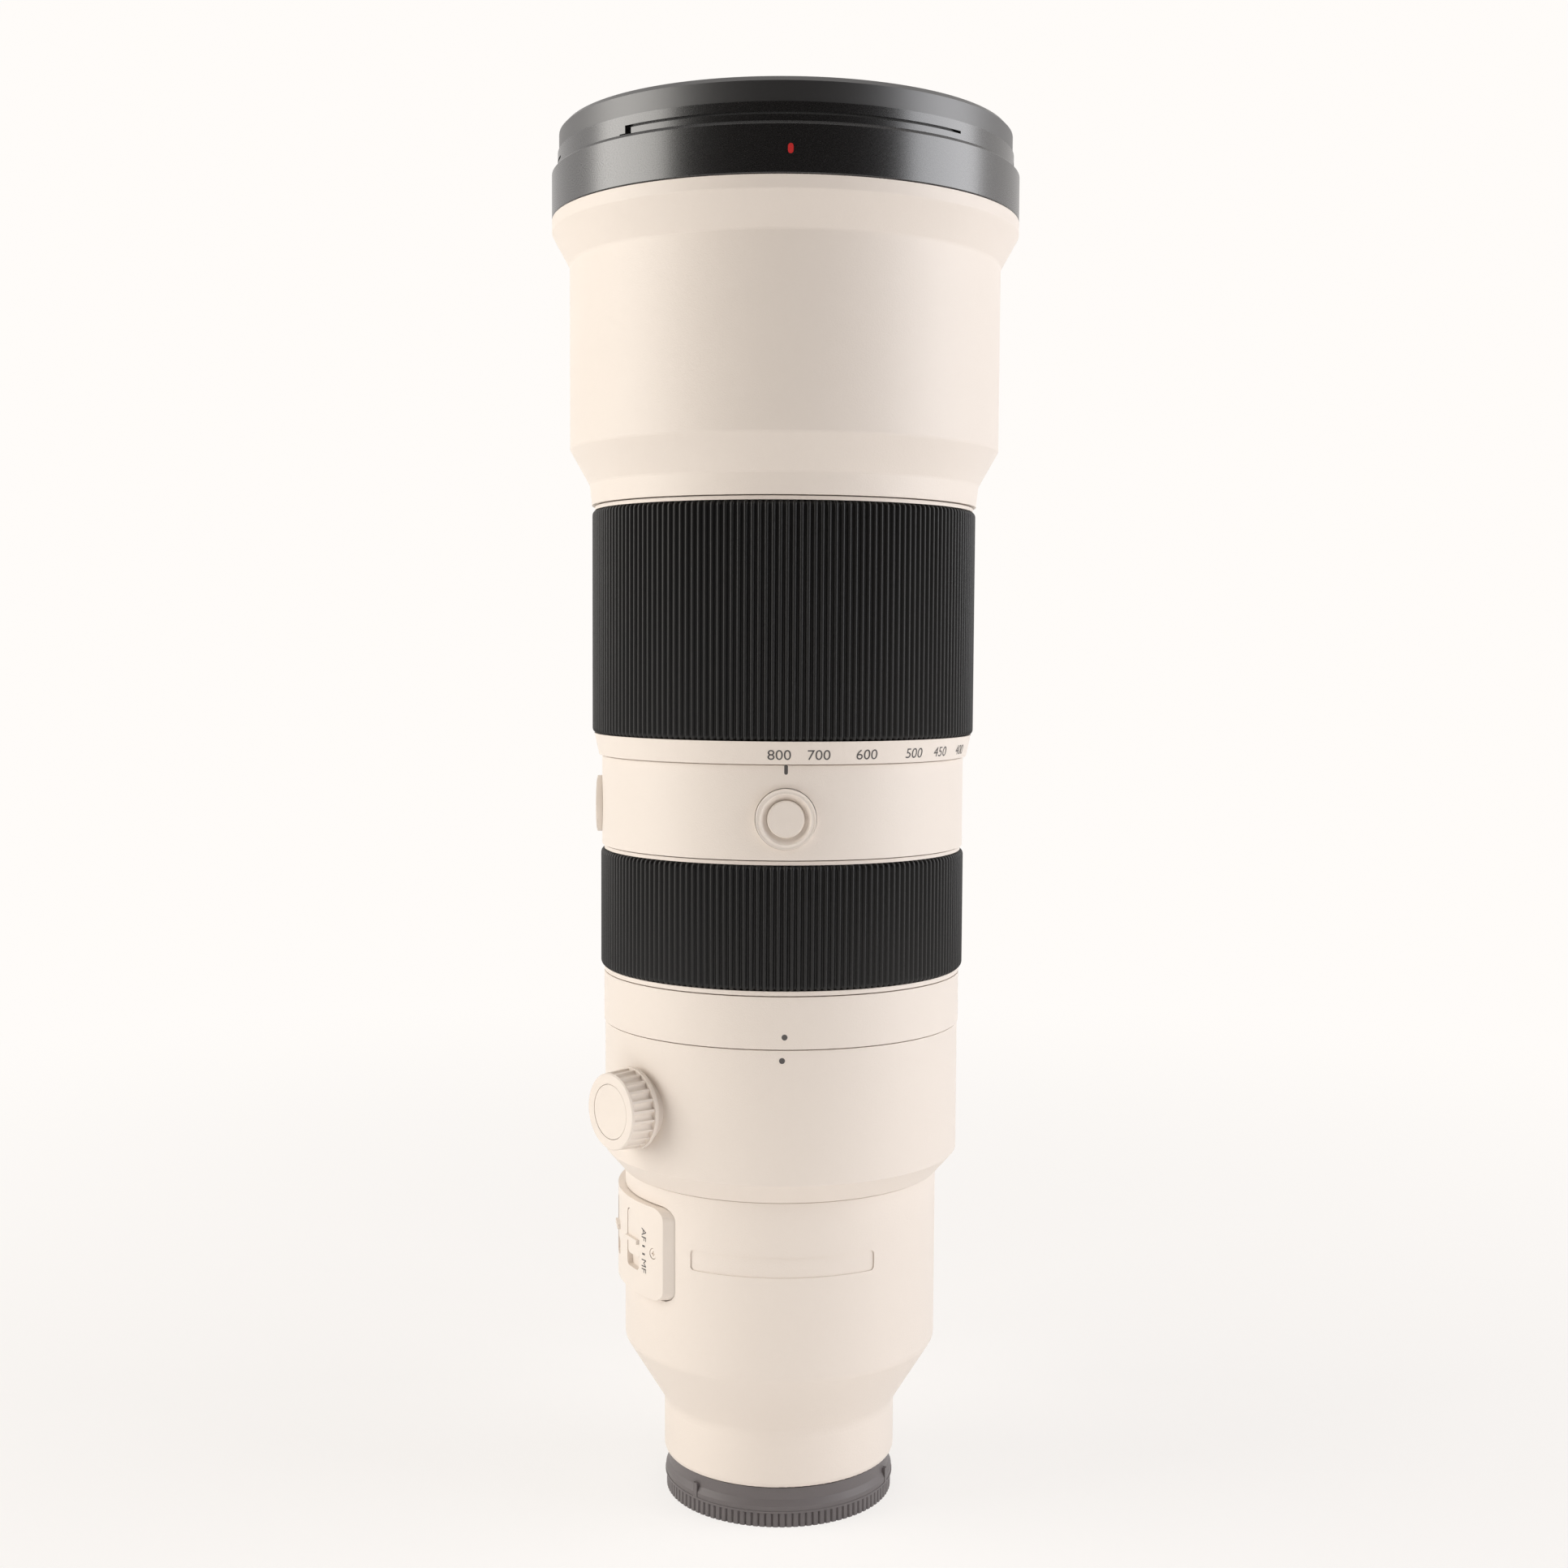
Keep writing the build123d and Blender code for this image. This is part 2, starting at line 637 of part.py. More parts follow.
# Focus group: a cell on two rails, driven by coils that run past fixed magnets
focus_travel = 20.0
focus_rail_radius = 1.25
focus_rail_inset = 2.45
focus_rail_azimuth = 90.0
focus_cell_drop = 41.0
focus_cell_length = 14.0
focus_cell_wall = 2.0
focus_flange_width = 7.0
focus_flange_thickness = 3.0
focus_ledge_width = 1.5
focus_bush_radius = 2.3
focus_arm_width = 3.0
focus_glass_edge = 6.0
focus_glass_back_bulge = -1.5
focus_glass_front_bulge = 2.2
magnet_azimuth = 0.0
magnet_angle = 40.0
magnet_thickness = 3.8
magnet_margin = 4.0
coil_angle = 32.0
coil_length = 12.0
coil_gap = 0.5
coil_thickness = 3.65
focus_rail_circle_radius = unit_radius - focus_rail_inset
magnet_inner_radius = unit_radius - magnet_thickness
coil_outer_radius = magnet_inner_radius - coil_gap
focus_flange_radius = coil_outer_radius - coil_thickness
focus_cell_radius = focus_flange_radius - focus_flange_width
focus_cell_bore = focus_cell_radius - focus_cell_wall
focus_cell_z = iris_z - focus_cell_drop
focus_top_z = focus_cell_z + focus_travel + coil_length

with BuildPart() as focus_rails:
    for side in (-1, 1):
        spot = (side * focus_rail_circle_radius, 0)
        with BuildSketch(Plane.XY.offset(shift_frame_z - seam)) as rail:
            with Locations(spot):
                Circle(focus_rail_radius)
        extrude(rail.sketch, amount=iris_z - shift_frame_z + seam)
write(focus_rails, "focus_rails")

with BuildPart() as focus_cell:
    ring(focus_cell_bore, focus_cell_radius, focus_cell_z, focus_cell_z + focus_cell_length)
    ring(
        focus_cell_bore - focus_ledge_width, focus_flange_radius,
        focus_cell_z, focus_cell_z + focus_flange_thickness,
    )
    for side in (-1, 1):
        block(
            side * focus_rail_azimuth, focus_cell_z + focus_flange_thickness / 2, focus_arm_width,
            focus_flange_thickness, focus_cell_radius, focus_rail_circle_radius,
        )
    with BuildSketch(Plane.XY.offset(focus_cell_z)) as bushes:
        with Locations((-focus_rail_circle_radius, 0), (focus_rail_circle_radius, 0)):
            Circle(focus_bush_radius)
    extrude(bushes.sketch, amount=coil_length)
    with BuildSketch(Plane.XY.offset(focus_cell_z)) as rail_holes:
        with Locations((-focus_rail_circle_radius, 0), (focus_rail_circle_radius, 0)):
            Circle(focus_rail_radius + running_gap)
    extrude(rail_holes.sketch, amount=coil_length, mode=Mode.SUBTRACT)
write(focus_cell, "focus_cell")

with BuildPart() as focus_element:
    glass_z = focus_cell_z + focus_flange_thickness
    lens(
        focus_cell_bore - fit_gap, glass_z, glass_z + focus_glass_edge,
        focus_glass_back_bulge, focus_glass_front_bulge,
    )
write(focus_element, "focus_element")

with BuildPart() as focus_coils:
    for side in (0, 1):
        sector(
            magnet_azimuth + side * 180, coil_angle, focus_flange_radius, coil_outer_radius,
            focus_cell_z, focus_cell_z + coil_length,
        )
write(focus_coils, "focus_coils")

with BuildPart() as focus_magnets:
    for side in (0, 1):
        sector(
            magnet_azimuth + side * 180, magnet_angle, magnet_inner_radius, unit_radius,
            focus_cell_z - magnet_margin, focus_top_z + magnet_margin,
        )
write(focus_magnets, "focus_magnets")

# Dot band, with the bearing for the focus ring above it
web_thickness = 3.0
web_width = 12.4
web_bore_radius = focus_bearing_bore - web_width

with BuildPart() as dot_band:
    turned(
        (web_bore_radius, dot_band_z),
        (dot_band_radius, dot_band_z),
        (dot_band_radius, focus_ring_z),
        (focus_bearing_radius, focus_ring_z),
        (focus_bearing_radius, mid_barrel_z),
        (focus_bearing_bore, mid_barrel_z),
        (focus_bearing_bore, dot_band_z + web_thickness),
        (web_bore_radius, dot_band_z + web_thickness),
    )
write(dot_band, "dot_band")

# Focus ring
focus_edge_width = 1.4
focus_top_band_width = 1.2
rubber_thickness = 1.45
rib_depth = 0.7
rubber_rim = 1.4
rubber_edge = 0.4
focus_rib_count = 178
zoom_rib_count = 185
rib_land_share = 0.45
focus_seat_radius = focus_rubber_radius - rubber_thickness
focus_sleeve_z = focus_ring_z + seam
focus_rubber_z = focus_ring_z + focus_edge_width
focus_rubber_top_z = mid_barrel_z - focus_top_band_width


def ribbed_rubber(seat, outer, bottom, top, count):
    """A rubber grip: a rounded rim at each end, and straight ribs with V grooves between them."""
    groove = outer - rib_depth
    rib_angle = 360 / count
    land = rib_angle * rib_land_share
    rib_points = []
    for n in range(count):
        for angle, radius in ((-land / 2, outer), (land / 2, outer), (rib_angle / 2, groove)):
            turn = radians(n * rib_angle + angle)
            rib_points.append((radius * cos(turn), radius * sin(turn)))
    with BuildSketch(Plane.XY.offset(bottom + rubber_rim)) as ribs:
        with BuildLine():
            Polyline(*rib_points, close=True)
        make_face()
        Circle(seat + fit_gap, mode=Mode.SUBTRACT)
    extrude(ribs.sketch, amount=top - bottom - 2 * rubber_rim)
    for end, inwards in ((bottom, 1), (top, -1)):
        turned(
            (seat + fit_gap, end),
            (groove - rubber_edge, end),
            (groove, end + inwards * rubber_edge),
            (groove, end + inwards * rubber_rim),
            (seat + fit_gap, end + inwards * rubber_rim),
        )


with BuildPart() as focus_sleeve:
    turned(
        (focus_bearing_radius + running_gap, focus_sleeve_z),
        (dot_band_radius, focus_sleeve_z),
        (dot_band_radius, focus_rubber_z),
        (focus_seat_radius, focus_rubber_z),
        (focus_seat_radius, focus_rubber_top_z),
        (dot_band_radius, focus_rubber_top_z),
        (dot_band_radius, mid_barrel_z - seam),
        (focus_bearing_radius + running_gap, mid_barrel_z - seam),
    )
write(focus_sleeve, "focus_sleeve")

with BuildPart() as focus_rubber:
    ribbed_rubber(
        focus_seat_radius, focus_rubber_radius, focus_rubber_z, focus_rubber_top_z, focus_rib_count
    )
write(focus_rubber, "focus_rubber")

# Focus hold buttons round the fixed middle barrel
button_rise = 10.0
button_azimuths = {"top": 0.0, "left": -90.0, "bottom": 180.0}
button_radius = 4.55
button_collar_radius = 5.5
button_collar_thickness = 1.0
button_proud = 1.0
button_edge = 0.35
bezel_radius = 7.45
bezel_proud = 1.3
bezel_lip_width = 0.35
bezel_lip_height = 0.15
bezel_face_width = 1.25
bezel_dish_depth = 1.5
bezel_dish_floor_width = 0.35
bezel_depth = 5.5
bezel_roof = 3.6
mid_bore_step = 1.0
button_z = mid_barrel_z + button_rise
mid_bore_radius = focus_bearing_bore + mid_bore_step
bezel_top_radius = mid_radius + bezel_proud
bezel_floor_radius = bezel_top_radius - bezel_depth
bezel_collar_room_radius = bezel_top_radius - bezel_roof
button_top_radius = mid_radius + button_proud
button_collar_top_radius = bezel_collar_room_radius - fit_gap

# Zoom key and its slot: the key joins the zoom ring to the cam tube through the fixed barrel
zoom_turn = 69.0
key_azimuth = 180.0
key_width = 6.0
key_height = 4.0
key_drop = 13.9
key_slot_margin_angle = 1.5
key_end_inset = 0.2
key_z = front_barrel_z - key_drop
key_half_angle = degrees(asin(key_width / 2 / cam_radius))
key_slot_angle = zoom_turn + 2 * (key_half_angle + key_slot_margin_angle)

with BuildPart() as mid_barrel:
    turned(
        (mid_bore_radius, mid_barrel_z),
        (mid_radius, mid_barrel_z),
        (mid_radius, zoom_ring_z),
        (zoom_bearing_radius, zoom_ring_z),
        (zoom_bearing_radius, front_barrel_z),
        (zoom_bearing_bore, front_barrel_z),
        (zoom_bearing_bore, zoom_ring_z),
        (mid_bore_radius, zoom_ring_z),
    )
    for azimuth in button_azimuths.values():
        peg(
            azimuth, button_z, bezel_radius + fit_gap, mid_bore_radius - overrun,
            mid_radius + overrun, mode=Mode.SUBTRACT,
        )
    sector(
        key_azimuth - zoom_turn / 2, key_slot_angle, zoom_bearing_bore - overrun,
        zoom_bearing_radius + overrun, key_z - key_height / 2 - seam, key_z + key_height / 2 + seam,
        mode=Mode.SUBTRACT,
    )
write(mid_barrel, "mid_barrel")


def button_turned(azimuth, *points, mode=Mode.ADD):
    """A closed outline of (radius, distance from the optical axis), turned round a button's own axis."""
    base = outward(azimuth, 0, button_z)
    side = Plane(origin=base.origin, x_dir=base.x_dir, z_dir=-base.y_dir)
    with BuildSketch(side) as outline:
        with BuildLine():
            Polyline(*points, close=True)
        make_face()
    revolve(outline.sketch, axis=Axis(base.origin, base.z_dir), mode=mode)


with BuildPart() as button_bezels:
    for azimuth in button_azimuths.values():
        lip_radius = bezel_radius - bezel_lip_width
        face_radius = lip_radius - bezel_face_width
        bore = button_radius + running_gap
        button_turned(
            azimuth,
            (bore, bezel_collar_room_radius),
            (bore, bezel_top_radius - bezel_dish_depth),
            (bore + bezel_dish_floor_width, bezel_top_radius - bezel_dish_depth),
            (face_radius, bezel_top_radius - bezel_lip_height),
            (lip_radius, bezel_top_radius - bezel_lip_height),
            (lip_radius, bezel_top_radius),
            (bezel_radius, bezel_top_radius - bezel_lip_height),
            (bezel_radius, bezel_floor_radius),
            (button_collar_radius + running_gap, bezel_floor_radius),
            (button_collar_radius + running_gap, bezel_collar_room_radius),
        )
write(button_bezels, "button_bezels")

for side, azimuth in button_azimuths.items():
    with BuildPart() as hold_button:
        button_turned(
            azimuth,
            (0, button_collar_top_radius - button_collar_thickness),
            (button_collar_radius, button_collar_top_radius - button_collar_thickness),
            (button_collar_radius, button_collar_top_radius),
            (button_radius, button_collar_top_radius),
            (button_radius, button_top_radius - button_edge),
            (button_radius - button_edge, button_top_radius),
            (0, button_top_radius),
        )
    write(hold_button, f"hold_button_{side}")

# Guide tube with straight slots, and the cam tube that turns round it with helical slots
front_floor_thickness = 2.1
front_floor_width = 2.0
guide_flange_thickness = 2.5
guide_flange_overlap = 1.9
cam_tube_drop = 17.6
cam_tube_end_gap = 10.0
follower_count = 3
follower_radius = 2.4
follower_tip_inset = 0.2
slot_end_relief = 0.12
follower_socket_depth = 2.4
variator_travel = 34.0
variator_drop = 54.9
variator_azimuth = 60.0
compensator_travel = 16.0
compensator_drop = 15.5
compensator_azimuth = 0.0
front_flange_bore_radius = zoom_bearing_bore - front_floor_width
guide_flange_radius = front_flange_bore_radius + guide_flange_overlap
guide_top_z = front_barrel_z + front_floor_thickness
cam_tube_z = mid_barrel_z - cam_tube_drop
cam_tube_top_z = guide_top_z - cam_tube_end_gap
variator_z = front_barrel_z - variator_drop
compensator_z = zoom_ring_z - compensator_drop
follower_slot_width = 2 * (follower_radius + running_gap)
follower_end_radius = cam_radius - follower_tip_inset


def straight_slots(azimuth, low, high):
    """Straight guide slots, one for each follower."""
    for n in range(follower_count):
        with BuildSketch(outward(azimuth + 360 * n / follower_count, 0, (low + high) / 2)) as slot:
            SlotCenterToCenter(high - low, follower_slot_width, rotation=90)
        extrude(slot.sketch, amount=guide_radius + overrun, mode=Mode.SUBTRACT)


def helical_slots(azimuth, start_z, travel):
    """Helical cam slots that carry the followers along the lens while the tube turns."""
    middle = (cam_bore_radius + cam_radius) / 2
    low_z = min(start_z, start_z + travel)
    low_turn = 0 if travel > 0 else zoom_turn
    helix = Helix(pitch=abs(travel) * 360 / zoom_turn, height=abs(travel), radius=middle, lefthand=travel < 0)
    for n in range(follower_count):
        around = azimuth + 360 * n / follower_count
        path = helix.rotate(Axis.Z, around + low_turn - 90).moved(Location((0, 0, low_z)))
        start = path @ 0
        inwards = Vector(-start.X, -start.Y, 0)
        with BuildSketch(Plane(origin=start, x_dir=inwards, z_dir=path % 0)) as opening:
            Rectangle(cam_wall + overrun, follower_slot_width)
        sweep(opening.sketch, path=path, is_frenet=True, mode=Mode.SUBTRACT)
        for turn, shift in ((0, 0), (zoom_turn, travel)):
            peg(
                around + turn, start_z + shift, follower_slot_width / 2 + slot_end_relief,
                cam_bore_radius - overrun, cam_radius + overrun, mode=Mode.SUBTRACT,
            )


with BuildPart() as guide_tube:
    ring(guide_bore_radius, guide_radius, dot_band_z + web_thickness, guide_top_z)
    ring(guide_bore_radius, guide_flange_radius, guide_top_z, guide_top_z + guide_flange_thickness)
    straight_slots(variator_azimuth, variator_z, variator_z + variator_travel)
    straight_slots(compensator_azimuth, compensator_z - compensator_travel, compensator_z)
write(guide_tube, "guide_tube")

with BuildPart() as cam_tube:
    ring(cam_bore_radius, cam_radius, cam_tube_z, cam_tube_top_z)
    helical_slots(variator_azimuth, variator_z, variator_travel)
    helical_slots(compensator_azimuth, compensator_z, -compensator_travel)
    block(
        key_azimuth, key_z, key_width + 2 * fit_gap, key_height + 2 * fit_gap,
        cam_bore_radius - overrun, cam_radius + overrun, mode=Mode.SUBTRACT,
    )
write(cam_tube, "cam_tube")

# Moving lens groups inside the guide tube
group_length = 14.0
group_wall_gap = 0.1
group_ledge_thickness = 2.0
group_ledge_width = 1.5
variator_cell_wall = 4.9
variator_glass_bulge = -3.0
compensator_cell_wall = 7.9
compensator_glass_bulge = 2.5
group_glass_edge = 8.0
group_radius = guide_bore_radius - group_wall_gap
variator_glass_radius = group_radius - variator_cell_wall
compensator_glass_radius = group_radius - compensator_cell_wall
follower_start_radius = guide_bore_radius - follower_socket_depth - group_wall_gap

for name, azimuth, height, glass_radius, bulge in (
    ("variator", variator_azimuth, variator_z, variator_glass_radius, variator_glass_bulge),
    ("compensator", compensator_azimuth, compensator_z, compensator_glass_radius, compensator_glass_bulge),
):
    bottom = height - group_length / 2
    ledge_z = bottom + group_ledge_thickness
    angles = [azimuth + 360 * n / follower_count for n in range(follower_count)]
    with BuildPart() as group_cell:
        ring(glass_radius - group_ledge_width, group_radius, bottom, ledge_z)
        ring(glass_radius + fit_gap, group_radius, ledge_z, bottom + group_length)
        for angle in angles:
            peg(
                angle, height, follower_radius + fit_gap, follower_start_radius,
                guide_bore_radius + overrun, mode=Mode.SUBTRACT,
            )
    write(group_cell, f"{name}_cell")
    with BuildPart() as group_element:
        lens(glass_radius, ledge_z, ledge_z + group_glass_edge, min(bulge, 0), bulge)
    write(group_element, f"{name}_element")
    with BuildPart() as followers:
        for angle in angles:
            peg(angle, height, follower_radius, follower_start_radius, follower_end_radius)
    write(followers, f"{name}_followers")

# Zoom ring
scale_band_length = 5.5
scale_low_step = 0.8
scale_high_step = 2.0
zoom_top_band_width = 1.2
zoom_top_band_step = 1.8
scale_low_radius = mid_radius + scale_low_step
scale_high_radius = mid_radius + scale_high_step
zoom_top_band_radius = mid_radius + zoom_top_band_step
zoom_sleeve_z = zoom_ring_z + seam
zoom_seat_radius = zoom_rubber_radius - rubber_thickness
zoom_rubber_z = zoom_sleeve_z + scale_band_length
zoom_rubber_top_z = front_barrel_z - zoom_top_band_width
zoom_bore_radius = zoom_bearing_radius + running_gap

with BuildPart() as zoom_sleeve:
    turned(
        (zoom_bore_radius, zoom_sleeve_z),
        (scale_low_radius, zoom_sleeve_z),
        (scale_high_radius, zoom_rubber_z),
        (zoom_seat_radius, zoom_rubber_z),
        (zoom_seat_radius, zoom_rubber_top_z),
        (zoom_top_band_radius, zoom_rubber_top_z),
        (zoom_top_band_radius, front_barrel_z - seam),
        (zoom_bore_radius, front_barrel_z - seam),
    )
    block(
        key_azimuth, key_z, key_width + 2 * fit_gap, key_height + 2 * fit_gap,
        zoom_bore_radius - overrun, zoom_seat_radius + overrun, mode=Mode.SUBTRACT,
    )
write(zoom_sleeve, "zoom_sleeve")

with BuildPart() as zoom_rubber:
    ribbed_rubber(zoom_seat_radius, zoom_rubber_radius, zoom_rubber_z, zoom_rubber_top_z, zoom_rib_count)
write(zoom_rubber, "zoom_rubber")

with BuildPart() as zoom_key:
    block(
        key_azimuth, key_z, key_width, key_height, cam_bore_radius + key_end_inset,
        zoom_seat_radius - key_end_inset,
    )
write(zoom_key, "zoom_key")

# Front barrel
front_blend_length = 5.3
front_blend_step = 0.6
front_cone_length = 8.9
front_flare_length = 8.2
front_land_length = 3.1
front_shoulder_round = 0.6
front_wall = 2.6
front_cell_seat_drop = 13.8
front_blend_z = front_barrel_z + front_blend_length
front_cone_foot_radius = front_foot_radius + front_blend_step
front_cone_top_z = front_blend_z + front_cone_length
front_flare_top_z = front_ring_z - front_land_length
front_flare_z = front_flare_top_z - front_flare_length
front_cell_seat_z = front_ring_z - front_cell_seat_drop
front_bore_radius = front_barrel_radius - front_wall

with BuildPart() as front_barrel:
    turned(
        (front_flange_bore_radius, front_barrel_z),
        (front_foot_radius, front_barrel_z),
        (front_cone_foot_radius, front_blend_z),
        (front_barrel_radius, front_cone_top_z),
        (front_barrel_radius, front_flare_z),
        (front_band_radius, front_flare_top_z),
        (front_band_radius, front_ring_z),
        (front_cell_radius, front_ring_z),
        (front_cell_radius, front_cell_seat_z),
        (front_bore_radius, front_cell_seat_z),
        (front_bore_radius, front_cone_top_z),
        (front_foot_radius - front_wall, front_blend_z),
        (front_foot_radius - front_wall, guide_top_z),
        (front_flange_bore_radius, guide_top_z),
    )
    flare_edges = front_barrel.edges().filter_by(GeomType.CIRCLE)
    fillet(
        flare_edges.filter_by(
            lambda e: abs(e.radius - front_barrel_radius) < fit_gap
            or abs(e.radius - front_cone_foot_radius) < fit_gap
        ),
        front_wall / 2,
    )
    shoulder = front_barrel.edges().filter_by(GeomType.CIRCLE).filter_by(
        lambda e: abs(e.radius - front_band_radius) < fit_gap
    )
    fillet(shoulder.sort_by(Axis.Z)[0], front_shoulder_round)
write(front_barrel, "front_barrel")

# Front ring: hood bayonet outside, filter thread inside
front_band_length = 12.2
front_step_length = 4.5
front_lip_inset = 0.35
front_band_round = 0.9
front_band_bevel = 0.4
rim_bevel = 1.2
rim_bevel_width = 1.15
filter_ring_top_inset = 0.9
filter_ring_length = 8.0
hood_slot_start_angle = -41.6
hood_slot_end_angle = 44.2
hood_slot_rise = 1.6
hood_slot_width = 0.65
hood_slot_depth = 1.4
hood_slot_count = 3
hood_entry_angle = 1.9
hood_entry_foot_angle = 1.8
hood_entry_foot_height = 0.45
front_step_z = front_ring_z + front_band_length
front_lip_z = front_step_z + front_step_length
front_lip_radius = front_step_radius - front_lip_inset
rim_radius = front_lip_radius - rim_bevel_width
filter_ring_top_z = rim_z - filter_ring_top_inset
filter_ring_z = filter_ring_top_z - filter_ring_length
hood_slot_z = front_step_z + hood_slot_rise
hood_slot_top_z = hood_slot_z + hood_slot_width
hood_slot_floor_radius = front_step_radius - hood_slot_depth


def hood_cut(start_angle, end_angle, bottom, top):
    """One stretch of a hood slot, cut into the step of the front ring."""
    sector(
        (start_angle + end_angle) / 2, end_angle - start_angle, hood_slot_floor_radius,
        front_step_radius + overrun, bottom, top, mode=Mode.SUBTRACT,
    )


with BuildPart() as front_ring:
    turned(
        (front_cell_radius, front_ring_z),
        (front_band_radius - front_band_bevel, front_ring_z),
        (front_band_radius, front_ring_z + front_band_bevel),
        (front_band_radius, front_step_z - front_band_round),
        (front_band_radius - front_band_round, front_step_z),
        (front_step_radius, front_step_z),
        (front_step_radius, front_lip_z),
        (front_lip_radius, front_lip_z),
        (front_lip_radius, rim_z - rim_bevel),
        (rim_radius, rim_z),
        (front_cell_radius, rim_z),
    )
    for n in range(hood_slot_count):
        start = hood_slot_start_angle + 360 * n / hood_slot_count
        stop = hood_slot_end_angle + 360 * n / hood_slot_count
        hood_cut(start, stop, hood_slot_z, hood_slot_top_z)
        hood_cut(start, start + hood_entry_angle, front_step_z, hood_slot_top_z)
        hood_cut(start - hood_entry_foot_angle, start, front_step_z, front_step_z + hood_entry_foot_height)
write(front_ring, "front_ring")

with BuildPart() as filter_ring:
    ring(filter_bore_radius, filter_bore_radius + filter_ring_wall, filter_ring_z, filter_ring_top_z)
write(filter_ring, "filter_ring")

# Front lens cell with its two large elements
front_cell_wall = 3.5
front_ledge_drop = 0.8
front_ledge_thickness = 3.0
front_ledge_width = 2.4
front_glass_edge = 5.0
front_glass_back_bulge = -1.5
front_glass_bulge = 4.4
second_glass_inset = 1.0
second_glass_edge = 8.0
second_glass_bulge = 2.0
front_glass_radius = front_cell_radius - front_cell_wall
second_glass_radius = front_glass_radius - second_glass_inset
front_ledge_z = front_ring_z - front_ledge_drop
front_ledge_top_z = front_ledge_z + front_ledge_thickness
front_ledge_bore = front_glass_radius - front_ledge_width

with BuildPart() as front_cell:
    turned(
        (second_glass_radius + fit_gap, front_cell_seat_z),
        (front_cell_radius - fit_gap, front_cell_seat_z),
        (front_cell_radius - fit_gap, filter_ring_z),
        (front_glass_radius + fit_gap, filter_ring_z),
        (front_glass_radius + fit_gap, front_ledge_top_z),
        (front_ledge_bore, front_ledge_top_z),
        (front_ledge_bore, front_ledge_z),
        (second_glass_radius + fit_gap, front_ledge_z),
    )
write(front_cell, "front_cell")

with BuildPart() as front_element:
    lens(
        front_glass_radius, front_ledge_top_z, front_ledge_top_z + front_glass_edge,
        front_glass_back_bulge, front_glass_bulge,
    )
write(front_element, "front_element")

with BuildPart() as second_element:
    lens(second_glass_radius, front_ledge_z - second_glass_edge, front_ledge_z, second_glass_bulge, 0)
write(second_element, "second_element")

# Tripod collar, which turns on the rear barrel
collar_foot_step = 0.6
collar_cone_length = 5.4
collar_land_length = 6.0
collar_relief_depth = 2.8
collar_foot_radius = rear_radius + collar_foot_step
collar_relief_radius = collar_bearing_radius + collar_relief_depth
collar_bottom_z = collar_z + seam
collar_top_z = dot_band_z - seam
collar_bore_radius = collar_bearing_radius + running_gap

# Lock knob on the collar
knob_azimuth = -51.0
knob_drop = 18.1
knob_boss_radius = 9.0
knob_boss_height = 1.2
knob_flange_radius = 10.3
knob_flange_thickness = 1.0
knob_body_radius = 10.0
knob_face_radius = 9.6
knob_rim_thickness = 0.6
knob_length = 7.4
knob_flute_count = 24
knob_flute_radius = 1.05
knob_flute_depth = 0.9
knob_cap_radius = 6.8
knob_cap_thickness = 1.2
knob_shaft_radius = 3.0
knob_head_radius = 4.6
knob_head_height = 2.0
knob_z = dot_band_z - knob_drop
knob_base_distance = collar_radius + knob_boss_height + seam
knob_tip_distance = collar_bearing_radius + running_gap + seam

# Tripod foot, bolted to a flat pad at the back of the collar
foot_azimuth = 180.0
pad_width = 34.0
pad_length = 28.0
pad_drop = 18.5
pad_height = 3.6
foot_flange_thickness = 5.0
foot_stem_width = 15.0
foot_stem_length = 25.0
foot_plate_width = 34.0
foot_plate_length = 92.0
foot_plate_thickness = 8.0
foot_reach = 34.0
foot_plate_drop = 1.0
foot_plate_corner_radius = 8.0
foot_edge_round = 1.5
foot_screw_spread_x = 12.4
foot_screw_spread_z = 9.0
foot_screw_radius = 1.5
foot_screw_head_radius = 2.6
foot_screw_head_height = 3.0
foot_screw_length = 8.0
foot_socket_radius = 1.3
foot_socket_depth = 1.6
small_thread_radius = 2.55
large_thread_radius = 4.0
thread_spacing = 24.0
pad_z = dot_band_z - pad_drop
pad_distance = collar_radius + pad_height
foot_flange_top = pad_distance + foot_flange_thickness
foot_plate_z = pad_z - foot_plate_drop
foot_plate_distance = pad_distance + foot_reach
foot_bottom_distance = foot_plate_distance + foot_plate_thickness
foot_screw_spots = [
    (x * foot_screw_spread_x, z * foot_screw_spread_z) for x in (-1, 1) for z in (-1, 1)
]

with BuildPart() as collar_ring:
    turned(
        (collar_bore_radius, collar_bottom_z),
        (collar_foot_radius, collar_bottom_z),
        (collar_radius, collar_bottom_z + collar_cone_length),
        (collar_radius, collar_top_z),
        (collar_bore_radius, collar_top_z),
        (collar_bore_radius, collar_top_z - collar_land_length),
        (collar_relief_radius, collar_top_z - collar_land_length),
        (collar_relief_radius, collar_bottom_z + collar_land_length),
        (collar_bore_radius, collar_bottom_z + collar_land_length),
    )
    pad_foot_distance = sqrt(collar_relief_radius**2 - (pad_width / 2) ** 2) + seam
    block(foot_azimuth, pad_z, pad_width, pad_length, pad_foot_distance, pad_distance)
    disc(collar_relief_radius, pad_z - pad_length / 2, pad_z + pad_length / 2, mode=Mode.SUBTRACT)
    peg(knob_azimuth, knob_z, knob_boss_radius, collar_relief_radius + seam, collar_radius + knob_boss_height)
    peg(
        knob_azimuth, knob_z, knob_shaft_radius + running_gap, collar_relief_radius - overrun,
        knob_base_distance, mode=Mode.SUBTRACT,
    )
    with BuildSketch(outward(foot_azimuth, pad_distance, pad_z)) as pad_holes:
        with Locations(*foot_screw_spots):
            Circle(foot_screw_radius + fit_gap)
    extrude(pad_holes.sketch, amount=foot_flange_thickness - foot_screw_length, mode=Mode.SUBTRACT)
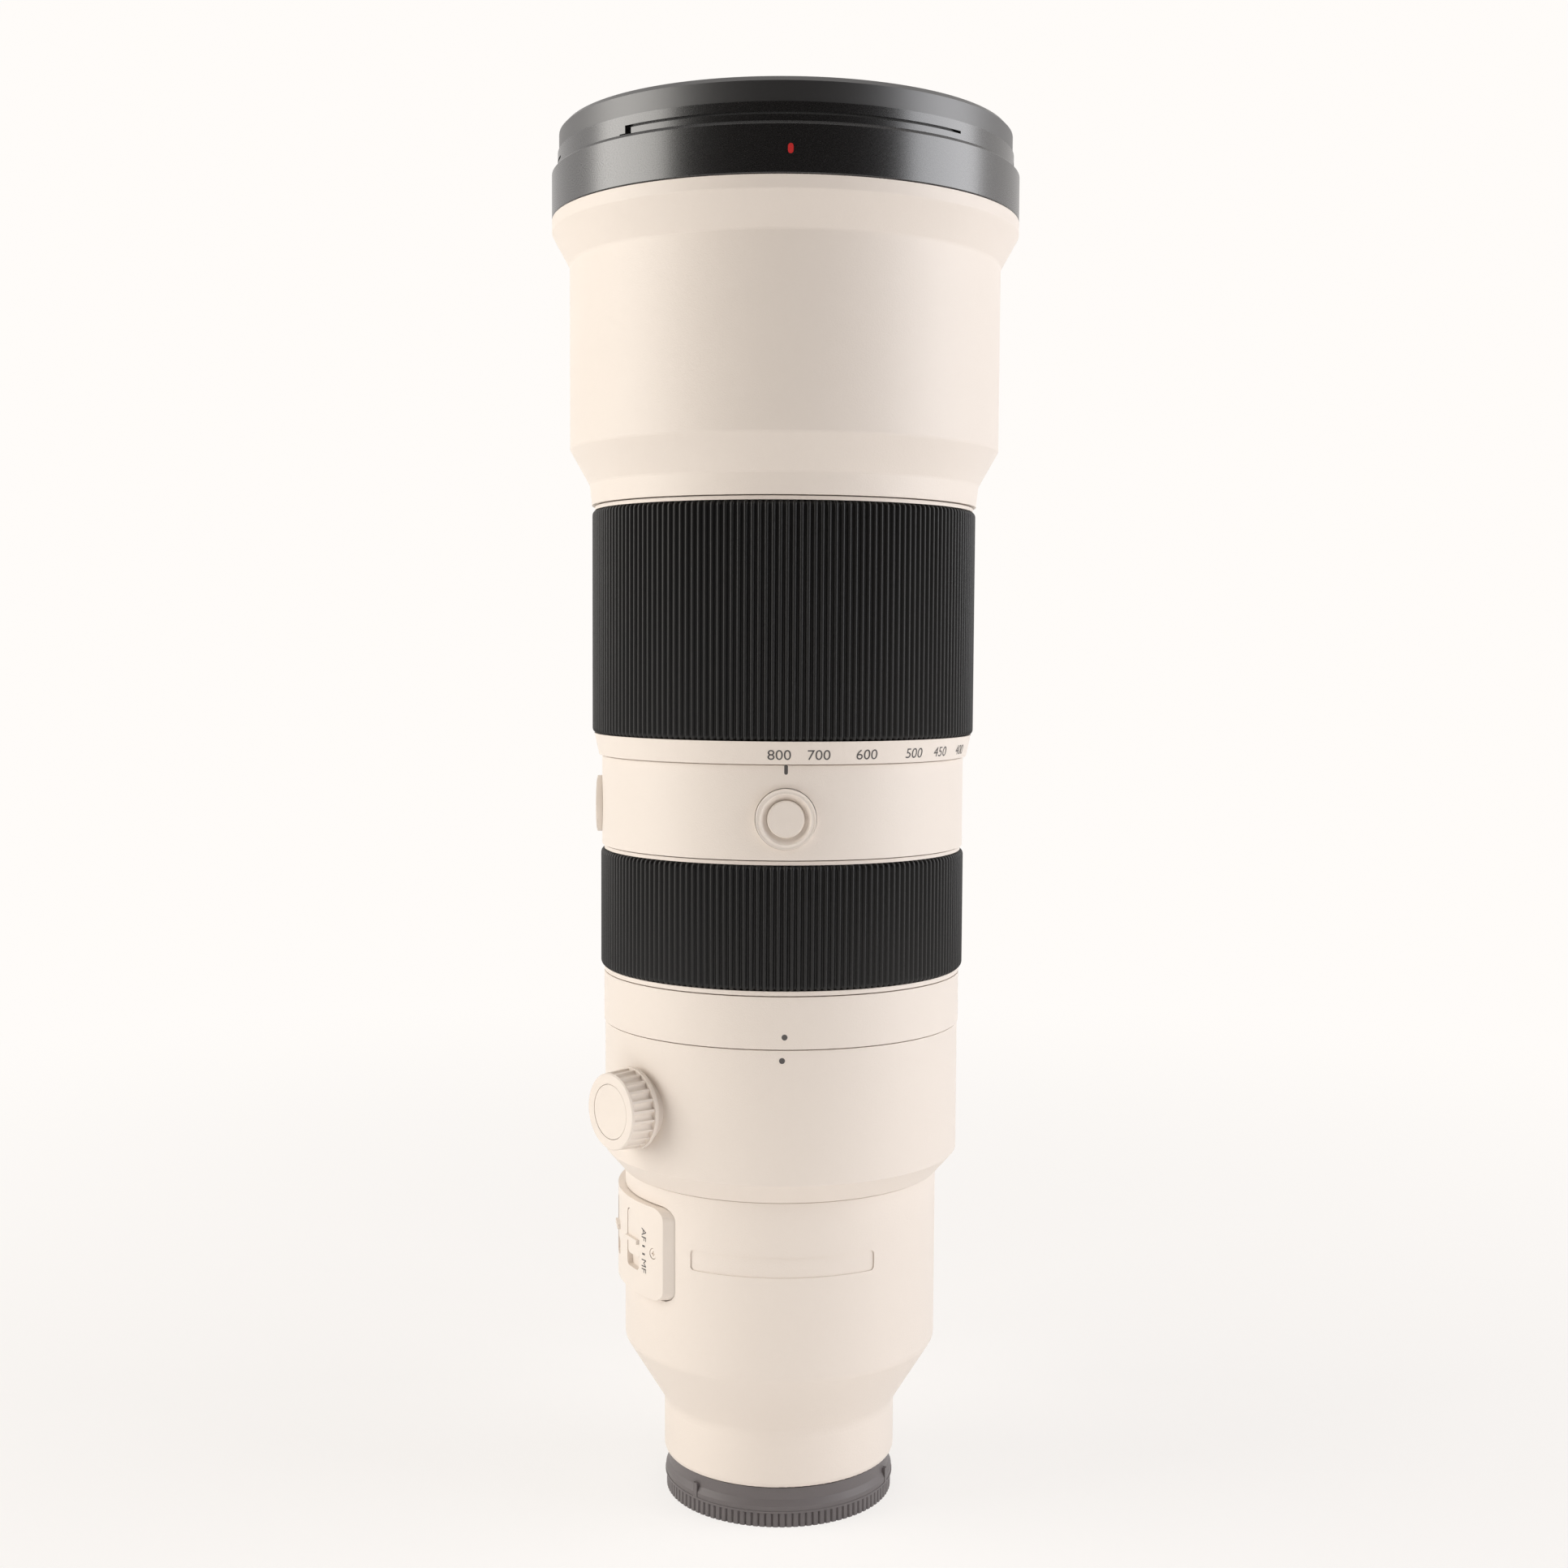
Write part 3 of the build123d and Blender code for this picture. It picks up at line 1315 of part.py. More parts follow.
write(collar_ring, "collar_ring")

with BuildPart() as tripod_foot:
    with BuildSketch(outward(foot_azimuth, foot_plate_distance, foot_plate_z)) as plate:
        RectangleRounded(foot_plate_width, foot_plate_length, foot_plate_corner_radius)
    extrude(plate.sketch, amount=foot_plate_thickness)
    chamfer(tripod_foot.faces().sort_by(Axis.Y)[-1].edges(), foot_edge_round)
    block(foot_azimuth, pad_z, pad_width, pad_length, pad_distance, foot_flange_top)
    with BuildSketch(outward(foot_azimuth, foot_flange_top, pad_z)) as stem_root:
        RectangleRounded(foot_stem_width, foot_stem_length, foot_stem_width / 4)
    with BuildSketch(outward(foot_azimuth, foot_plate_distance, pad_z)) as stem_end:
        RectangleRounded(foot_stem_width + foot_edge_round, pad_length, foot_stem_width / 4)
    loft([stem_root.sketch.face(), stem_end.sketch.face()])
    for height, radius in ((foot_plate_z - thread_spacing / 2, small_thread_radius),
                           (foot_plate_z + thread_spacing / 2, large_thread_radius)):
        peg(
            foot_azimuth, height, radius, foot_plate_distance + foot_edge_round,
            foot_bottom_distance + overrun, mode=Mode.SUBTRACT,
        )
    with BuildSketch(outward(foot_azimuth, pad_distance, pad_z)) as flange_holes:
        with Locations(*foot_screw_spots):
            Circle(foot_screw_radius + fit_gap)
    extrude(flange_holes.sketch, amount=foot_flange_thickness, mode=Mode.SUBTRACT)
write(tripod_foot, "tripod_foot")

with BuildPart() as foot_screws:
    with BuildSketch(outward(foot_azimuth, foot_flange_top, pad_z)) as heads:
        with Locations(*foot_screw_spots):
            Circle(foot_screw_head_radius)
    extrude(heads.sketch, amount=foot_screw_head_height)
    with BuildSketch(outward(foot_azimuth, foot_flange_top, pad_z)) as shafts:
        with Locations(*foot_screw_spots):
            Circle(foot_screw_radius)
    extrude(shafts.sketch, amount=fit_gap - foot_screw_length)
    with BuildSketch(outward(foot_azimuth, foot_flange_top + foot_screw_head_height, pad_z)) as sockets:
        with Locations(*foot_screw_spots):
            RegularPolygon(foot_socket_radius, 6)
    extrude(sockets.sketch, amount=-foot_socket_depth, mode=Mode.SUBTRACT)
write(foot_screws, "foot_screws")

knob_plane = outward(knob_azimuth, knob_base_distance, knob_z)
knob_flute_start = knob_flange_thickness
knob_flute_end = knob_length - knob_rim_thickness

with BuildPart() as knob_body:
    with BuildSketch(knob_plane) as flange:
        Circle(knob_flange_radius)
    extrude(flange.sketch, amount=knob_flange_thickness)
    with BuildSketch(knob_plane.offset(knob_flange_thickness)) as grip_root:
        Circle(knob_body_radius)
    with BuildSketch(knob_plane.offset(knob_length)) as grip_end:
        Circle(knob_face_radius)
    loft([grip_root.sketch.face(), grip_end.sketch.face()])
    chamfer(knob_body.faces().sort_by(Axis(knob_plane.origin, knob_plane.z_dir))[-1].edges(), seam)
    with BuildSketch(knob_plane.offset(knob_flute_start)) as flutes:
        with PolarLocations(knob_body_radius + knob_flute_radius - knob_flute_depth, knob_flute_count):
            Circle(knob_flute_radius)
    extrude(flutes.sketch, amount=knob_flute_end - knob_flute_start, mode=Mode.SUBTRACT)
    with BuildSketch(knob_plane.offset(knob_length - knob_cap_thickness)) as cap_recess:
        Circle(knob_cap_radius + sliding_gap)
    extrude(cap_recess.sketch, amount=knob_length, mode=Mode.SUBTRACT)
    head_floor = knob_length - knob_cap_thickness - knob_head_height
    with BuildSketch(knob_plane.offset(head_floor)) as head_room:
        Circle(knob_head_radius + fit_gap)
    extrude(head_room.sketch, amount=knob_length, mode=Mode.SUBTRACT)
    with BuildSketch(knob_plane) as shaft_hole:
        Circle(knob_shaft_radius + fit_gap)
    extrude(shaft_hole.sketch, amount=knob_length, mode=Mode.SUBTRACT)
write(knob_body, "knob_body")

with BuildPart() as knob_cap:
    with BuildSketch(knob_plane.offset(knob_length - knob_cap_thickness)) as inlay:
        Circle(knob_cap_radius)
    extrude(inlay.sketch, amount=knob_cap_thickness - fit_gap)
write(knob_cap, "knob_cap")

with BuildPart() as knob_screw:
    with BuildSketch(knob_plane.offset(head_floor)) as head:
        Circle(knob_head_radius)
    extrude(head.sketch, amount=knob_head_height - fit_gap)
    with BuildSketch(knob_plane.offset(head_floor)) as shaft:
        Circle(knob_shaft_radius)
    extrude(shaft.sketch, amount=knob_tip_distance - knob_base_distance - head_floor)
write(knob_screw, "knob_screw")

# Rear cap
cap_inset = 0.6
cap_band_step = 0.2
cap_lip_height = 0.5
cap_lip_step = 0.15
cap_band_height = 1.2
cap_waist_inset = 0.5
cap_waist_height = 1.6
cap_rim_inset = 0.4
cap_knurl_height = 3.7
cap_knurl_depth = 0.45
cap_tooth_count = 108
cap_tooth_share = 0.55
cap_wall = 2.2
cap_claw_thickness = 1.4
cap_claw_angle = 50.0
cap_claw_gap = 0.4
cap_claw_wall = 1.6
cap_rib_angles = [-46.5, 67.8]
cap_rib_width = 1.4
cap_rib_height = 3.7
cap_rib_depth = 0.15
cap_radius = neck_radius - cap_inset
cap_band_radius = cap_radius + cap_band_step
cap_waist_radius = cap_radius - cap_waist_inset
cap_rim_radius = cap_radius - cap_rim_inset
cap_lip_radius = cap_band_radius + cap_lip_step
cap_lip_z = cap_knurl_height + cap_lip_height
cap_band_z = cap_lip_z + cap_band_height
cap_seat_z = flange_z - seam
cap_rim_z = skirt_z - seam
cap_bore_radius = cap_radius - cap_wall
claw_ring_radius = lug_radius + cap_claw_gap
claw_bottom_z = bayonet_end_z + lug_thickness + cap_claw_gap

with BuildPart() as rear_cap:
    tooth_angle = 360 / cap_tooth_count
    tooth_points = []
    for n in range(cap_tooth_count):
        for share, radius in (
            (0, cap_radius),
            (cap_tooth_share, cap_radius),
            ((1 + cap_tooth_share) / 2, cap_radius - cap_knurl_depth),
        ):
            turn = radians((n + share) * tooth_angle)
            tooth_points.append((radius * cos(turn), radius * sin(turn)))
    with BuildSketch() as knurl:
        with BuildLine():
            Polyline(*tooth_points, close=True)
        make_face()
    extrude(knurl.sketch, amount=cap_knurl_height)
    turned(
        (0, cap_knurl_height),
        (cap_lip_radius, cap_knurl_height),
        (cap_lip_radius, cap_lip_z),
        (cap_band_radius, cap_lip_z),
        (cap_band_radius, cap_band_z),
        (cap_waist_radius, cap_band_z + cap_waist_height),
        (cap_rim_radius, cap_rim_z),
        (0, cap_rim_z),
    )
    for angle in cap_rib_angles:
        block(
            angle, cap_lip_z + cap_rib_height / 2, cap_rib_width, cap_rib_height,
            cap_bore_radius, cap_band_radius + cap_rib_depth,
        )
    disc(cap_bore_radius, cap_floor_thickness, cap_seat_z, mode=Mode.SUBTRACT)
    disc(mount_radius + seam, cap_seat_z, cap_rim_z, mode=Mode.SUBTRACT)
    ring(
        claw_ring_radius, claw_ring_radius + cap_claw_wall,
        cap_floor_thickness, claw_bottom_z + cap_claw_thickness,
    )
    for n in range(lug_count):
        sector(
            360 * n / lug_count, cap_claw_angle,
            bayonet_radius + cap_claw_gap, claw_ring_radius + cap_claw_wall / 2,
            claw_bottom_z, claw_bottom_z + cap_claw_thickness,
        )
write(rear_cap, "rear_cap")
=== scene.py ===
import json
import math
import bmesh
import bpy
from mathutils import Matrix, Vector


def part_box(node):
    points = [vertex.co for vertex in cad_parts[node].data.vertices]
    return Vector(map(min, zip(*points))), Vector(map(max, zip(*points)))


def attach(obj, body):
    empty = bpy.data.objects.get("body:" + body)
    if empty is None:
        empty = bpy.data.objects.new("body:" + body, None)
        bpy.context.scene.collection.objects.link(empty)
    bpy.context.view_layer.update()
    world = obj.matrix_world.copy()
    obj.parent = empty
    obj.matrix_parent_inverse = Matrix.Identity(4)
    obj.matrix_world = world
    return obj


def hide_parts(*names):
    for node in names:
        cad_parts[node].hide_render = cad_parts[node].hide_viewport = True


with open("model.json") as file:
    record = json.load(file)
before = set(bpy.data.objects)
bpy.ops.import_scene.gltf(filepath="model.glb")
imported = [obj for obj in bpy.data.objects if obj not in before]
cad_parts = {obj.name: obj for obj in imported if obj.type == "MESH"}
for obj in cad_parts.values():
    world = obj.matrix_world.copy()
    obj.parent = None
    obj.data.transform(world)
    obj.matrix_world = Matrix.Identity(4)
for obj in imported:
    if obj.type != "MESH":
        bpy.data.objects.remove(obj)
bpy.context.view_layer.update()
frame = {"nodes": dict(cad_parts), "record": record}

# A telephoto zoom lens on its rear cap: finishes, grips, marks and light, in metres.
# Azimuths are degrees round +Z from the index line, which faces -Y.
MM = 0.001


# Materials

def new_material(name):
    """An empty node material, with its node tree and shader."""
    material = bpy.data.materials.new(name)
    material.use_nodes = True
    tree = material.node_tree
    return material, tree, tree.nodes["Principled BSDF"]


def noise(tree, scale, detail=2.0, roughness=0.5):
    """A noise texture on object coordinates, whose size is given in features per metre."""
    coordinates = tree.nodes.get("Texture Coordinate") or tree.nodes.new("ShaderNodeTexCoord")
    node = tree.nodes.new("ShaderNodeTexNoise")
    node.inputs["Scale"].default_value = scale
    node.inputs["Detail"].default_value = detail
    node.inputs["Roughness"].default_value = roughness
    tree.links.new(coordinates.outputs["Object"], node.inputs["Vector"])
    return node


def remap(tree, source, low, high):
    """The output of a noise texture, which seldom leaves 0.3 to 0.7, spread between two values."""
    noise_low = 0.3
    noise_high = 0.7
    node = tree.nodes.new("ShaderNodeMapRange")
    node.inputs["From Min"].default_value = noise_low
    node.inputs["From Max"].default_value = noise_high
    node.inputs["To Min"].default_value = low
    node.inputs["To Max"].default_value = high
    tree.links.new(source, node.inputs["Value"])
    return node.outputs["Result"]


def tint(tree, source, dark, light):
    """A colour that runs from one shade to another with a texture."""
    node = tree.nodes.new("ShaderNodeMix")
    node.data_type = "RGBA"
    node.inputs["A"].default_value = (*dark, 1)
    node.inputs["B"].default_value = (*light, 1)
    tree.links.new(source, node.inputs["Factor"])
    return node.outputs["Result"]


def bump(tree, shader, source, distance):
    """A bump of a given height, in metres."""
    node = tree.nodes.new("ShaderNodeBump")
    node.inputs["Distance"].default_value = distance
    node.inputs["Strength"].default_value = 1.0
    tree.links.new(source, node.inputs["Height"])
    tree.links.new(node.outputs["Normal"], shader.inputs["Normal"])


def surface(name, dark, light, roughness, grain, grain_height, patch=60.0, reflection=1.5, spread=0.06):
    """A finish with a fine grain, and faint patches of colour and gloss."""
    material, tree, shader = new_material(name)
    broad = noise(tree, patch, detail=4.0)
    fine = noise(tree, grain, detail=3.0, roughness=0.65)
    tree.links.new(tint(tree, broad.outputs["Fac"], dark, light), shader.inputs["Base Color"])
    gloss = remap(tree, fine.outputs["Fac"], roughness - spread, roughness + spread)
    tree.links.new(gloss, shader.inputs["Roughness"])
    shader.inputs["IOR"].default_value = reflection
    bump(tree, shader, fine.outputs["Fac"], grain_height)
    return material


def turned_metal(name, colour, roughness):
    """Metal with fine turning lines round the optical axis."""
    lines_across = 60
    lines_along = 5200
    line_depth = 0.01 * MM
    material, tree, shader = new_material(name)
    coordinates = tree.nodes.new("ShaderNodeTexCoord")
    squeeze = tree.nodes.new("ShaderNodeMapping")
    squeeze.inputs["Scale"].default_value = (lines_across, lines_across, lines_along)
    lines = tree.nodes.new("ShaderNodeTexNoise")
    lines.inputs["Scale"].default_value = 1.0
    tree.links.new(coordinates.outputs["Object"], squeeze.inputs["Vector"])
    tree.links.new(squeeze.outputs["Vector"], lines.inputs["Vector"])
    shader.inputs["Base Color"].default_value = (*colour, 1)
    shader.inputs["Metallic"].default_value = 1.0
    gloss = remap(tree, lines.outputs["Fac"], roughness - 0.08, roughness + 0.1)
    tree.links.new(gloss, shader.inputs["Roughness"])
    bump(tree, shader, lines.outputs["Fac"], line_depth)
    return material


def ring_metal(name, colour, roughness, upper_roughness, step_height):
    """Black anodised metal that is more matt above a given height."""
    grain = 4200.0
    grain_height = 0.004 * MM
    blend_height = 0.2 * MM
    spread = 0.03
    material, tree, shader = new_material(name)
    fine = noise(tree, grain, detail=3.0, roughness=0.65)
    coordinates = tree.nodes["Texture Coordinate"]
    axes = tree.nodes.new("ShaderNodeSeparateXYZ")
    tree.links.new(coordinates.outputs["Object"], axes.inputs[0])
    upper = tree.nodes.new("ShaderNodeMapRange")
    upper.inputs["From Min"].default_value = step_height
    upper.inputs["From Max"].default_value = step_height + blend_height
    upper.inputs["To Min"].default_value = roughness
    upper.inputs["To Max"].default_value = upper_roughness
    tree.links.new(axes.outputs["Z"], upper.inputs["Value"])
    total = tree.nodes.new("ShaderNodeMath")
    total.operation = "ADD"
    tree.links.new(upper.outputs["Result"], total.inputs[0])
    tree.links.new(remap(tree, fine.outputs["Fac"], -spread, spread), total.inputs[1])
    tree.links.new(total.outputs[0], shader.inputs["Roughness"])
    shader.inputs["Base Color"].default_value = (*colour, 1)
    shader.inputs["IOR"].default_value = 2.0
    bump(tree, shader, fine.outputs["Fac"], grain_height)
    return material


def coated_glass(name, colour, coating):
    """Clear glass with a coloured coating on its face and a trace of dust."""
    dust_grain = 900.0
    dust_haze = 0.03
    material, tree, shader = new_material(name)
    dust = noise(tree, dust_grain, detail=6.0)
    shader.inputs["Base Color"].default_value = (*colour, 1)
    shader.inputs["Transmission Weight"].default_value = 1.0
    shader.inputs["IOR"].default_value = 1.5
    shader.inputs["Specular IOR Level"].default_value = 0.15
    shader.inputs["Specular Tint"].default_value = (*coating, 1)
    shader.inputs["Coat Weight"].default_value = 0.15
    shader.inputs["Coat Tint"].default_value = (0.9, 0.96, 0.94, 1)
    tree.links.new(remap(tree, dust.outputs["Fac"], 0.0, dust_haze), shader.inputs["Roughness"])
    return material


white_paint = surface(
    "white_paint", (0.80, 0.725, 0.655), (0.82, 0.745, 0.675),
    roughness=0.5, grain=2600.0, grain_height=0.05 * MM, patch=25.0,
)
white_plastic = surface(
    "white_plastic", (0.81, 0.735, 0.66), (0.83, 0.755, 0.685),
    roughness=0.46, grain=3400.0, grain_height=0.03 * MM, patch=40.0,
)
grip_rubber = surface(
    "grip_rubber", (0.0025, 0.0022, 0.0021), (0.0045, 0.004, 0.0038),
    roughness=0.44, grain=3000.0, grain_height=0.03 * MM, reflection=1.42,
)
black_metal = surface(
    "black_metal", (0.004, 0.0032, 0.0032), (0.006, 0.005, 0.005),
    roughness=0.23, grain=4200.0, grain_height=0.004 * MM, reflection=2.35,
)
black_anodised = surface(
    "black_anodised", (0.010, 0.010, 0.011), (0.016, 0.016, 0.017),
    roughness=0.6, grain=3500.0, grain_height=0.02 * MM,
)
cap_plastic = surface(
    "cap_plastic", (0.125, 0.112, 0.113), (0.15, 0.135, 0.136),
    roughness=0.5, grain=3000.0, grain_height=0.04 * MM,
)
mark_paint = surface(
    "mark_paint", (0.075, 0.068, 0.066), (0.10, 0.09, 0.088),
    roughness=0.6, grain=3000.0, grain_height=0.01 * MM,
)
red_paint = surface(
    "red_paint", (0.50, 0.012, 0.012), (0.58, 0.02, 0.018),
    roughness=0.5, grain=3000.0, grain_height=0.01 * MM,
)
board_green = surface(
    "board_green", (0.01, 0.10, 0.04), (0.015, 0.13, 0.05),
    roughness=0.4, grain=800.0, grain_height=0.02 * MM,
)
mount_steel = turned_metal("mount_steel", (0.72, 0.72, 0.73), 0.28)
screw_steel = turned_metal("screw_steel", (0.55, 0.55, 0.56), 0.35)
magnet_steel = turned_metal("magnet_steel", (0.38, 0.38, 0.40), 0.3)
cam_metal = turned_metal("cam_metal", (0.42, 0.38, 0.30), 0.35)
follower_brass = turned_metal("follower_brass", (0.70, 0.52, 0.24), 0.3)
contact_gold = turned_metal("contact_gold", (0.85, 0.62, 0.25), 0.22)
coil_copper = turned_metal("coil_copper", (0.65, 0.28, 0.12), 0.35)

hood_ring_metal = ring_metal(
    "hood_ring_metal", (0.005, 0.004, 0.004),
    roughness=0.27, upper_roughness=0.42, step_height=348.4 * MM,
)
front_glass = coated_glass("front_glass", (0.95, 0.98, 0.97), coating=(0.45, 0.95, 0.65))
inner_glass = coated_glass("inner_glass", (0.93, 0.97, 0.97), coating=(0.75, 0.45, 1.0))

finishes = {
    "white_shell": white_paint, "white_plastic": white_plastic, "grip_rubber": grip_rubber,
    "black_metal": black_metal, "inner_metal": black_anodised, "cam_metal": cam_metal,
    "cap_plastic": cap_plastic, "mount_metal": mount_steel, "screw_steel": screw_steel,
    "magnet_steel": magnet_steel, "contact_gold": contact_gold, "follower_brass": follower_brass,
    "coil_copper": coil_copper, "board_green": board_green, "lens_glass": inner_glass,
}


def finish_nodes():
    """Give each carried node its slot's finish, and the front glass and front ring their own."""
    for part in frame["record"]["subparts"]:
        node = frame["nodes"][part["node"]]
        node.data.materials.clear()
        node.data.materials.append(finishes[part["material_slot"]])
    frame["nodes"]["front_element"].data.materials[0] = front_glass
    frame["nodes"]["front_ring"].data.materials[0] = hood_ring_metal


finish_nodes()


# Mesh helpers

def add_mesh(name, vertices, faces, material, body):
    """A smooth mesh object that rides on a body and carries the given material."""
    mesh = bpy.data.meshes.new(name)
    mesh.from_pydata(vertices, [], faces)
    mesh.materials.append(material)
    mesh.validate()
    mesh.shade_smooth()
    piece = bpy.data.objects.new(name, mesh)
    bpy.context.scene.collection.objects.link(piece)
    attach(piece, body)
    return piece


def around(azimuth, radius, height):
    """The point at an azimuth in degrees, a radius and a height."""
    turn = math.radians(azimuth)
    return (radius * math.sin(turn), -radius * math.cos(turn), height)


def lathe(name, outline, steps, radius_at, material, body):
    """A closed ring turned from (radius, height) points, whose radii radius_at reshapes at each step."""
    count = len(outline)
    vertices = []
    for step in range(steps):
        azimuth = 360 * step / steps
        for index, (radius, height) in enumerate(outline):
            vertices.append(around(azimuth, radius_at(index, radius, step), height))
    faces = []
    for step in range(steps):
        after = (step + 1) % steps
        for index in range(count):
            following = (index + 1) % count
            faces.append((
                step * count + index, after * count + index,
                after * count + following, step * count + following,
            ))
    return add_mesh(name, vertices, faces, material, body)


# Rubber grips with rounded ribs

def ribbed_grip(node, body, ribs, rib_depth):
    """A rubber grip whose ribs are rounded on top and at both ends."""
    low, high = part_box(node)
    wall = 1.4 * MM
    corner = 1.3 * MM
    groove_sharpness = 1.5
    points_per_rib = 8
    arc_steps = 6
    outer = high.x
    inner = outer - wall
    bottom = []
    top = []
    for step in range(arc_steps + 1):
        turn = math.pi / 2 * step / arc_steps
        drop = corner * (1 - math.sin(turn))
        rise = corner * (1 - math.cos(turn))
        bottom.append((outer - drop, low.z + rise))
        top.append((outer - drop, high.z - rise))
    outline = [(inner, low.z)] + bottom + top[::-1] + [(inner, high.z)]

    def rib_radius(index, radius, step):
        if index == 0 or index == len(outline) - 1:
            return radius
        phase = 2 * math.pi * (step % points_per_rib) / points_per_rib
        groove = (0.5 - 0.5 * math.cos(phase)) ** groove_sharpness
        return radius - rib_depth * groove

    steps = ribs * points_per_rib
    grip = lathe(f"{node}_grip", outline, steps, rib_radius, grip_rubber, body)
    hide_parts(node)


ribbed_grip("zoom_rubber", "zoom_ring", 185, 0.75 * MM)
ribbed_grip("focus_rubber", "focus_ring", 178, 0.7 * MM)


# Painted marks on the round surfaces

def paint(name, outline_mesh, azimuth, height, radius_of, body, material):
    """Wrap a flat mesh round the lens, centred at an azimuth and a height, just above the surface."""
    lift = 0.03 * MM
    for vertex in outline_mesh.vertices:
        across, up, _ = vertex.co
        radius = radius_of(height + up) + lift
        vertex.co = Vector(around(azimuth + math.degrees(across / radius), radius, height + up))
    outline_mesh.materials.clear()
    outline_mesh.materials.append(material)
    piece = bpy.data.objects.new(name, outline_mesh)
    bpy.context.scene.collection.objects.link(piece)
    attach(piece, body)
    return piece


def flat_shape(name, points):
    """A flat mesh with a given outline."""
    mesh = bpy.data.meshes.new(name)
    bm = bmesh.new()
    bm.faces.new([bm.verts.new((x, y, 0)) for x, y in points])
    bm.to_mesh(mesh)
    bm.free()
    return mesh


def round_bar(width, length):
    """The outline of an upright bar with round ends, or of a dot where the two sizes match."""
    steps = 12
    radius = width / 2
    straight = length / 2 - radius
    points = []
    for side in (1, -1):
        for step in range(steps + 1):
            turn = math.pi * step / steps
            points.append((side * radius * math.cos(turn), side * (straight + radius * math.sin(turn))))
    return points


def square_bar(width, length):
    """The outline of a plain upright bar."""
    side = width / 2
    end = length / 2
    return [(-side, -end), (side, -end), (side, end), (-side, end)]


def lettering(name, text, size, stretch=1.0, lengthwise=False):
    """Flat mesh of a short text, centred on its middle. Lengthwise text reads down the lens."""
    curve = bpy.data.curves.new(name, "FONT")
    curve.body = text
    curve.size = size
    curve.align_x = "CENTER"
    curve.align_y = "CENTER"
    curve.resolution_u = 6
    holder = bpy.data.objects.new(name, curve)
    bpy.context.scene.collection.objects.link(holder)
    bpy.context.view_layer.update()
    mesh = bpy.data.meshes.new_from_object(holder)
    bpy.data.objects.remove(holder)
    bpy.data.curves.remove(curve)
    mesh.transform(Matrix.Diagonal((stretch, 1, 1, 1)))
    if lengthwise:
        mesh.transform(Matrix.Rotation(-math.pi / 2, 4, "Z"))
    return mesh


def steady(radius):
    """A radius that is the same at every height."""
    return lambda height: radius


def node_radius(node):
    """The outer radius of a round node."""
    low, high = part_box(node)
    return (high.x - low.x) / 2


def scale_radius(height):
    """The radius of the slightly conical scale band under the zoom rubber."""
    lower_radius = 48.0
    widening = 1.2
    sleeve_low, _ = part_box("zoom_sleeve")
    rubber_low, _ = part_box("zoom_rubber")
    share = (height - sleeve_low.z) / (rubber_low.z - sleeve_low.z)
    return (lower_radius + widening * share) * MM


def zoom_scale():
    """The focal lengths round the zoom ring, as plain numbers on a dial."""
    azimuths = {"800": -2.0, "700": 9.3, "600": 23.8, "500": 40.7, "450": 53.0, "400": 66.8}
    height = 197.95 * MM
    number_size = 3.45 * MM
    for text, azimuth in azimuths.items():
        mesh = lettering(f"zoom_{text}", text, number_size, stretch=1.14)
        paint(f"zoom_number_{text}", mesh, azimuth, height, scale_radius, "zoom_ring", mark_paint)


def painted_bars():
    """The index marks and dots along the front of the lens."""
    collar_radius = 46.4 * MM
    # Each bar's name, width, length, azimuth, height, radius, body and paint
    bars = [
        ("zoom_index", 0.87, 2.4, 0, 194.5, node_radius("mid_barrel"), "barrel", mark_paint),
        ("band_dot", 1.45, 1.45, 0, 129.5, node_radius("dot_band"), "barrel", mark_paint),
        ("collar_dot", 1.45, 1.45, -0.7, 123.7, collar_radius, "collar", mark_paint),
        ("hood_index", 1.3, 2.3, 0, 337.55, node_radius("front_ring"), "barrel", red_paint),
    ]
    for name, width, length, azimuth, height, radius, body, paint_material in bars:
        mesh = flat_shape(name, round_bar(width * MM, length * MM))
        paint(name, mesh, azimuth, height * MM, steady(radius), body, paint_material)


def panel_marks():
    """The focus switch's two positions, in small letters with a tick each."""
    azimuth = -54.8
    letter_size = 3.0 * MM
    tick_width = 1.2 * MM
    tick_height = 0.5 * MM
    panel_low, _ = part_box("switch_panel")
    radius = steady(-panel_low.x)
    for name, height in (("AF", 74.4), ("MF", 66.35)):
        mesh = lettering(f"letters_{name}", name, letter_size, lengthwise=True)
        paint(f"panel_{name}", mesh, azimuth, height * MM, radius, "barrel", mark_paint)
    for number, height in enumerate((71.44, 69.38)):
        mesh = flat_shape(f"tick_{number}", square_bar(tick_width, tick_height))
        paint(f"panel_tick_{number}", mesh, azimuth, height * MM, radius, "barrel", mark_paint)


zoom_scale()
painted_bars()
panel_marks()


# Dished rings round the hold buttons

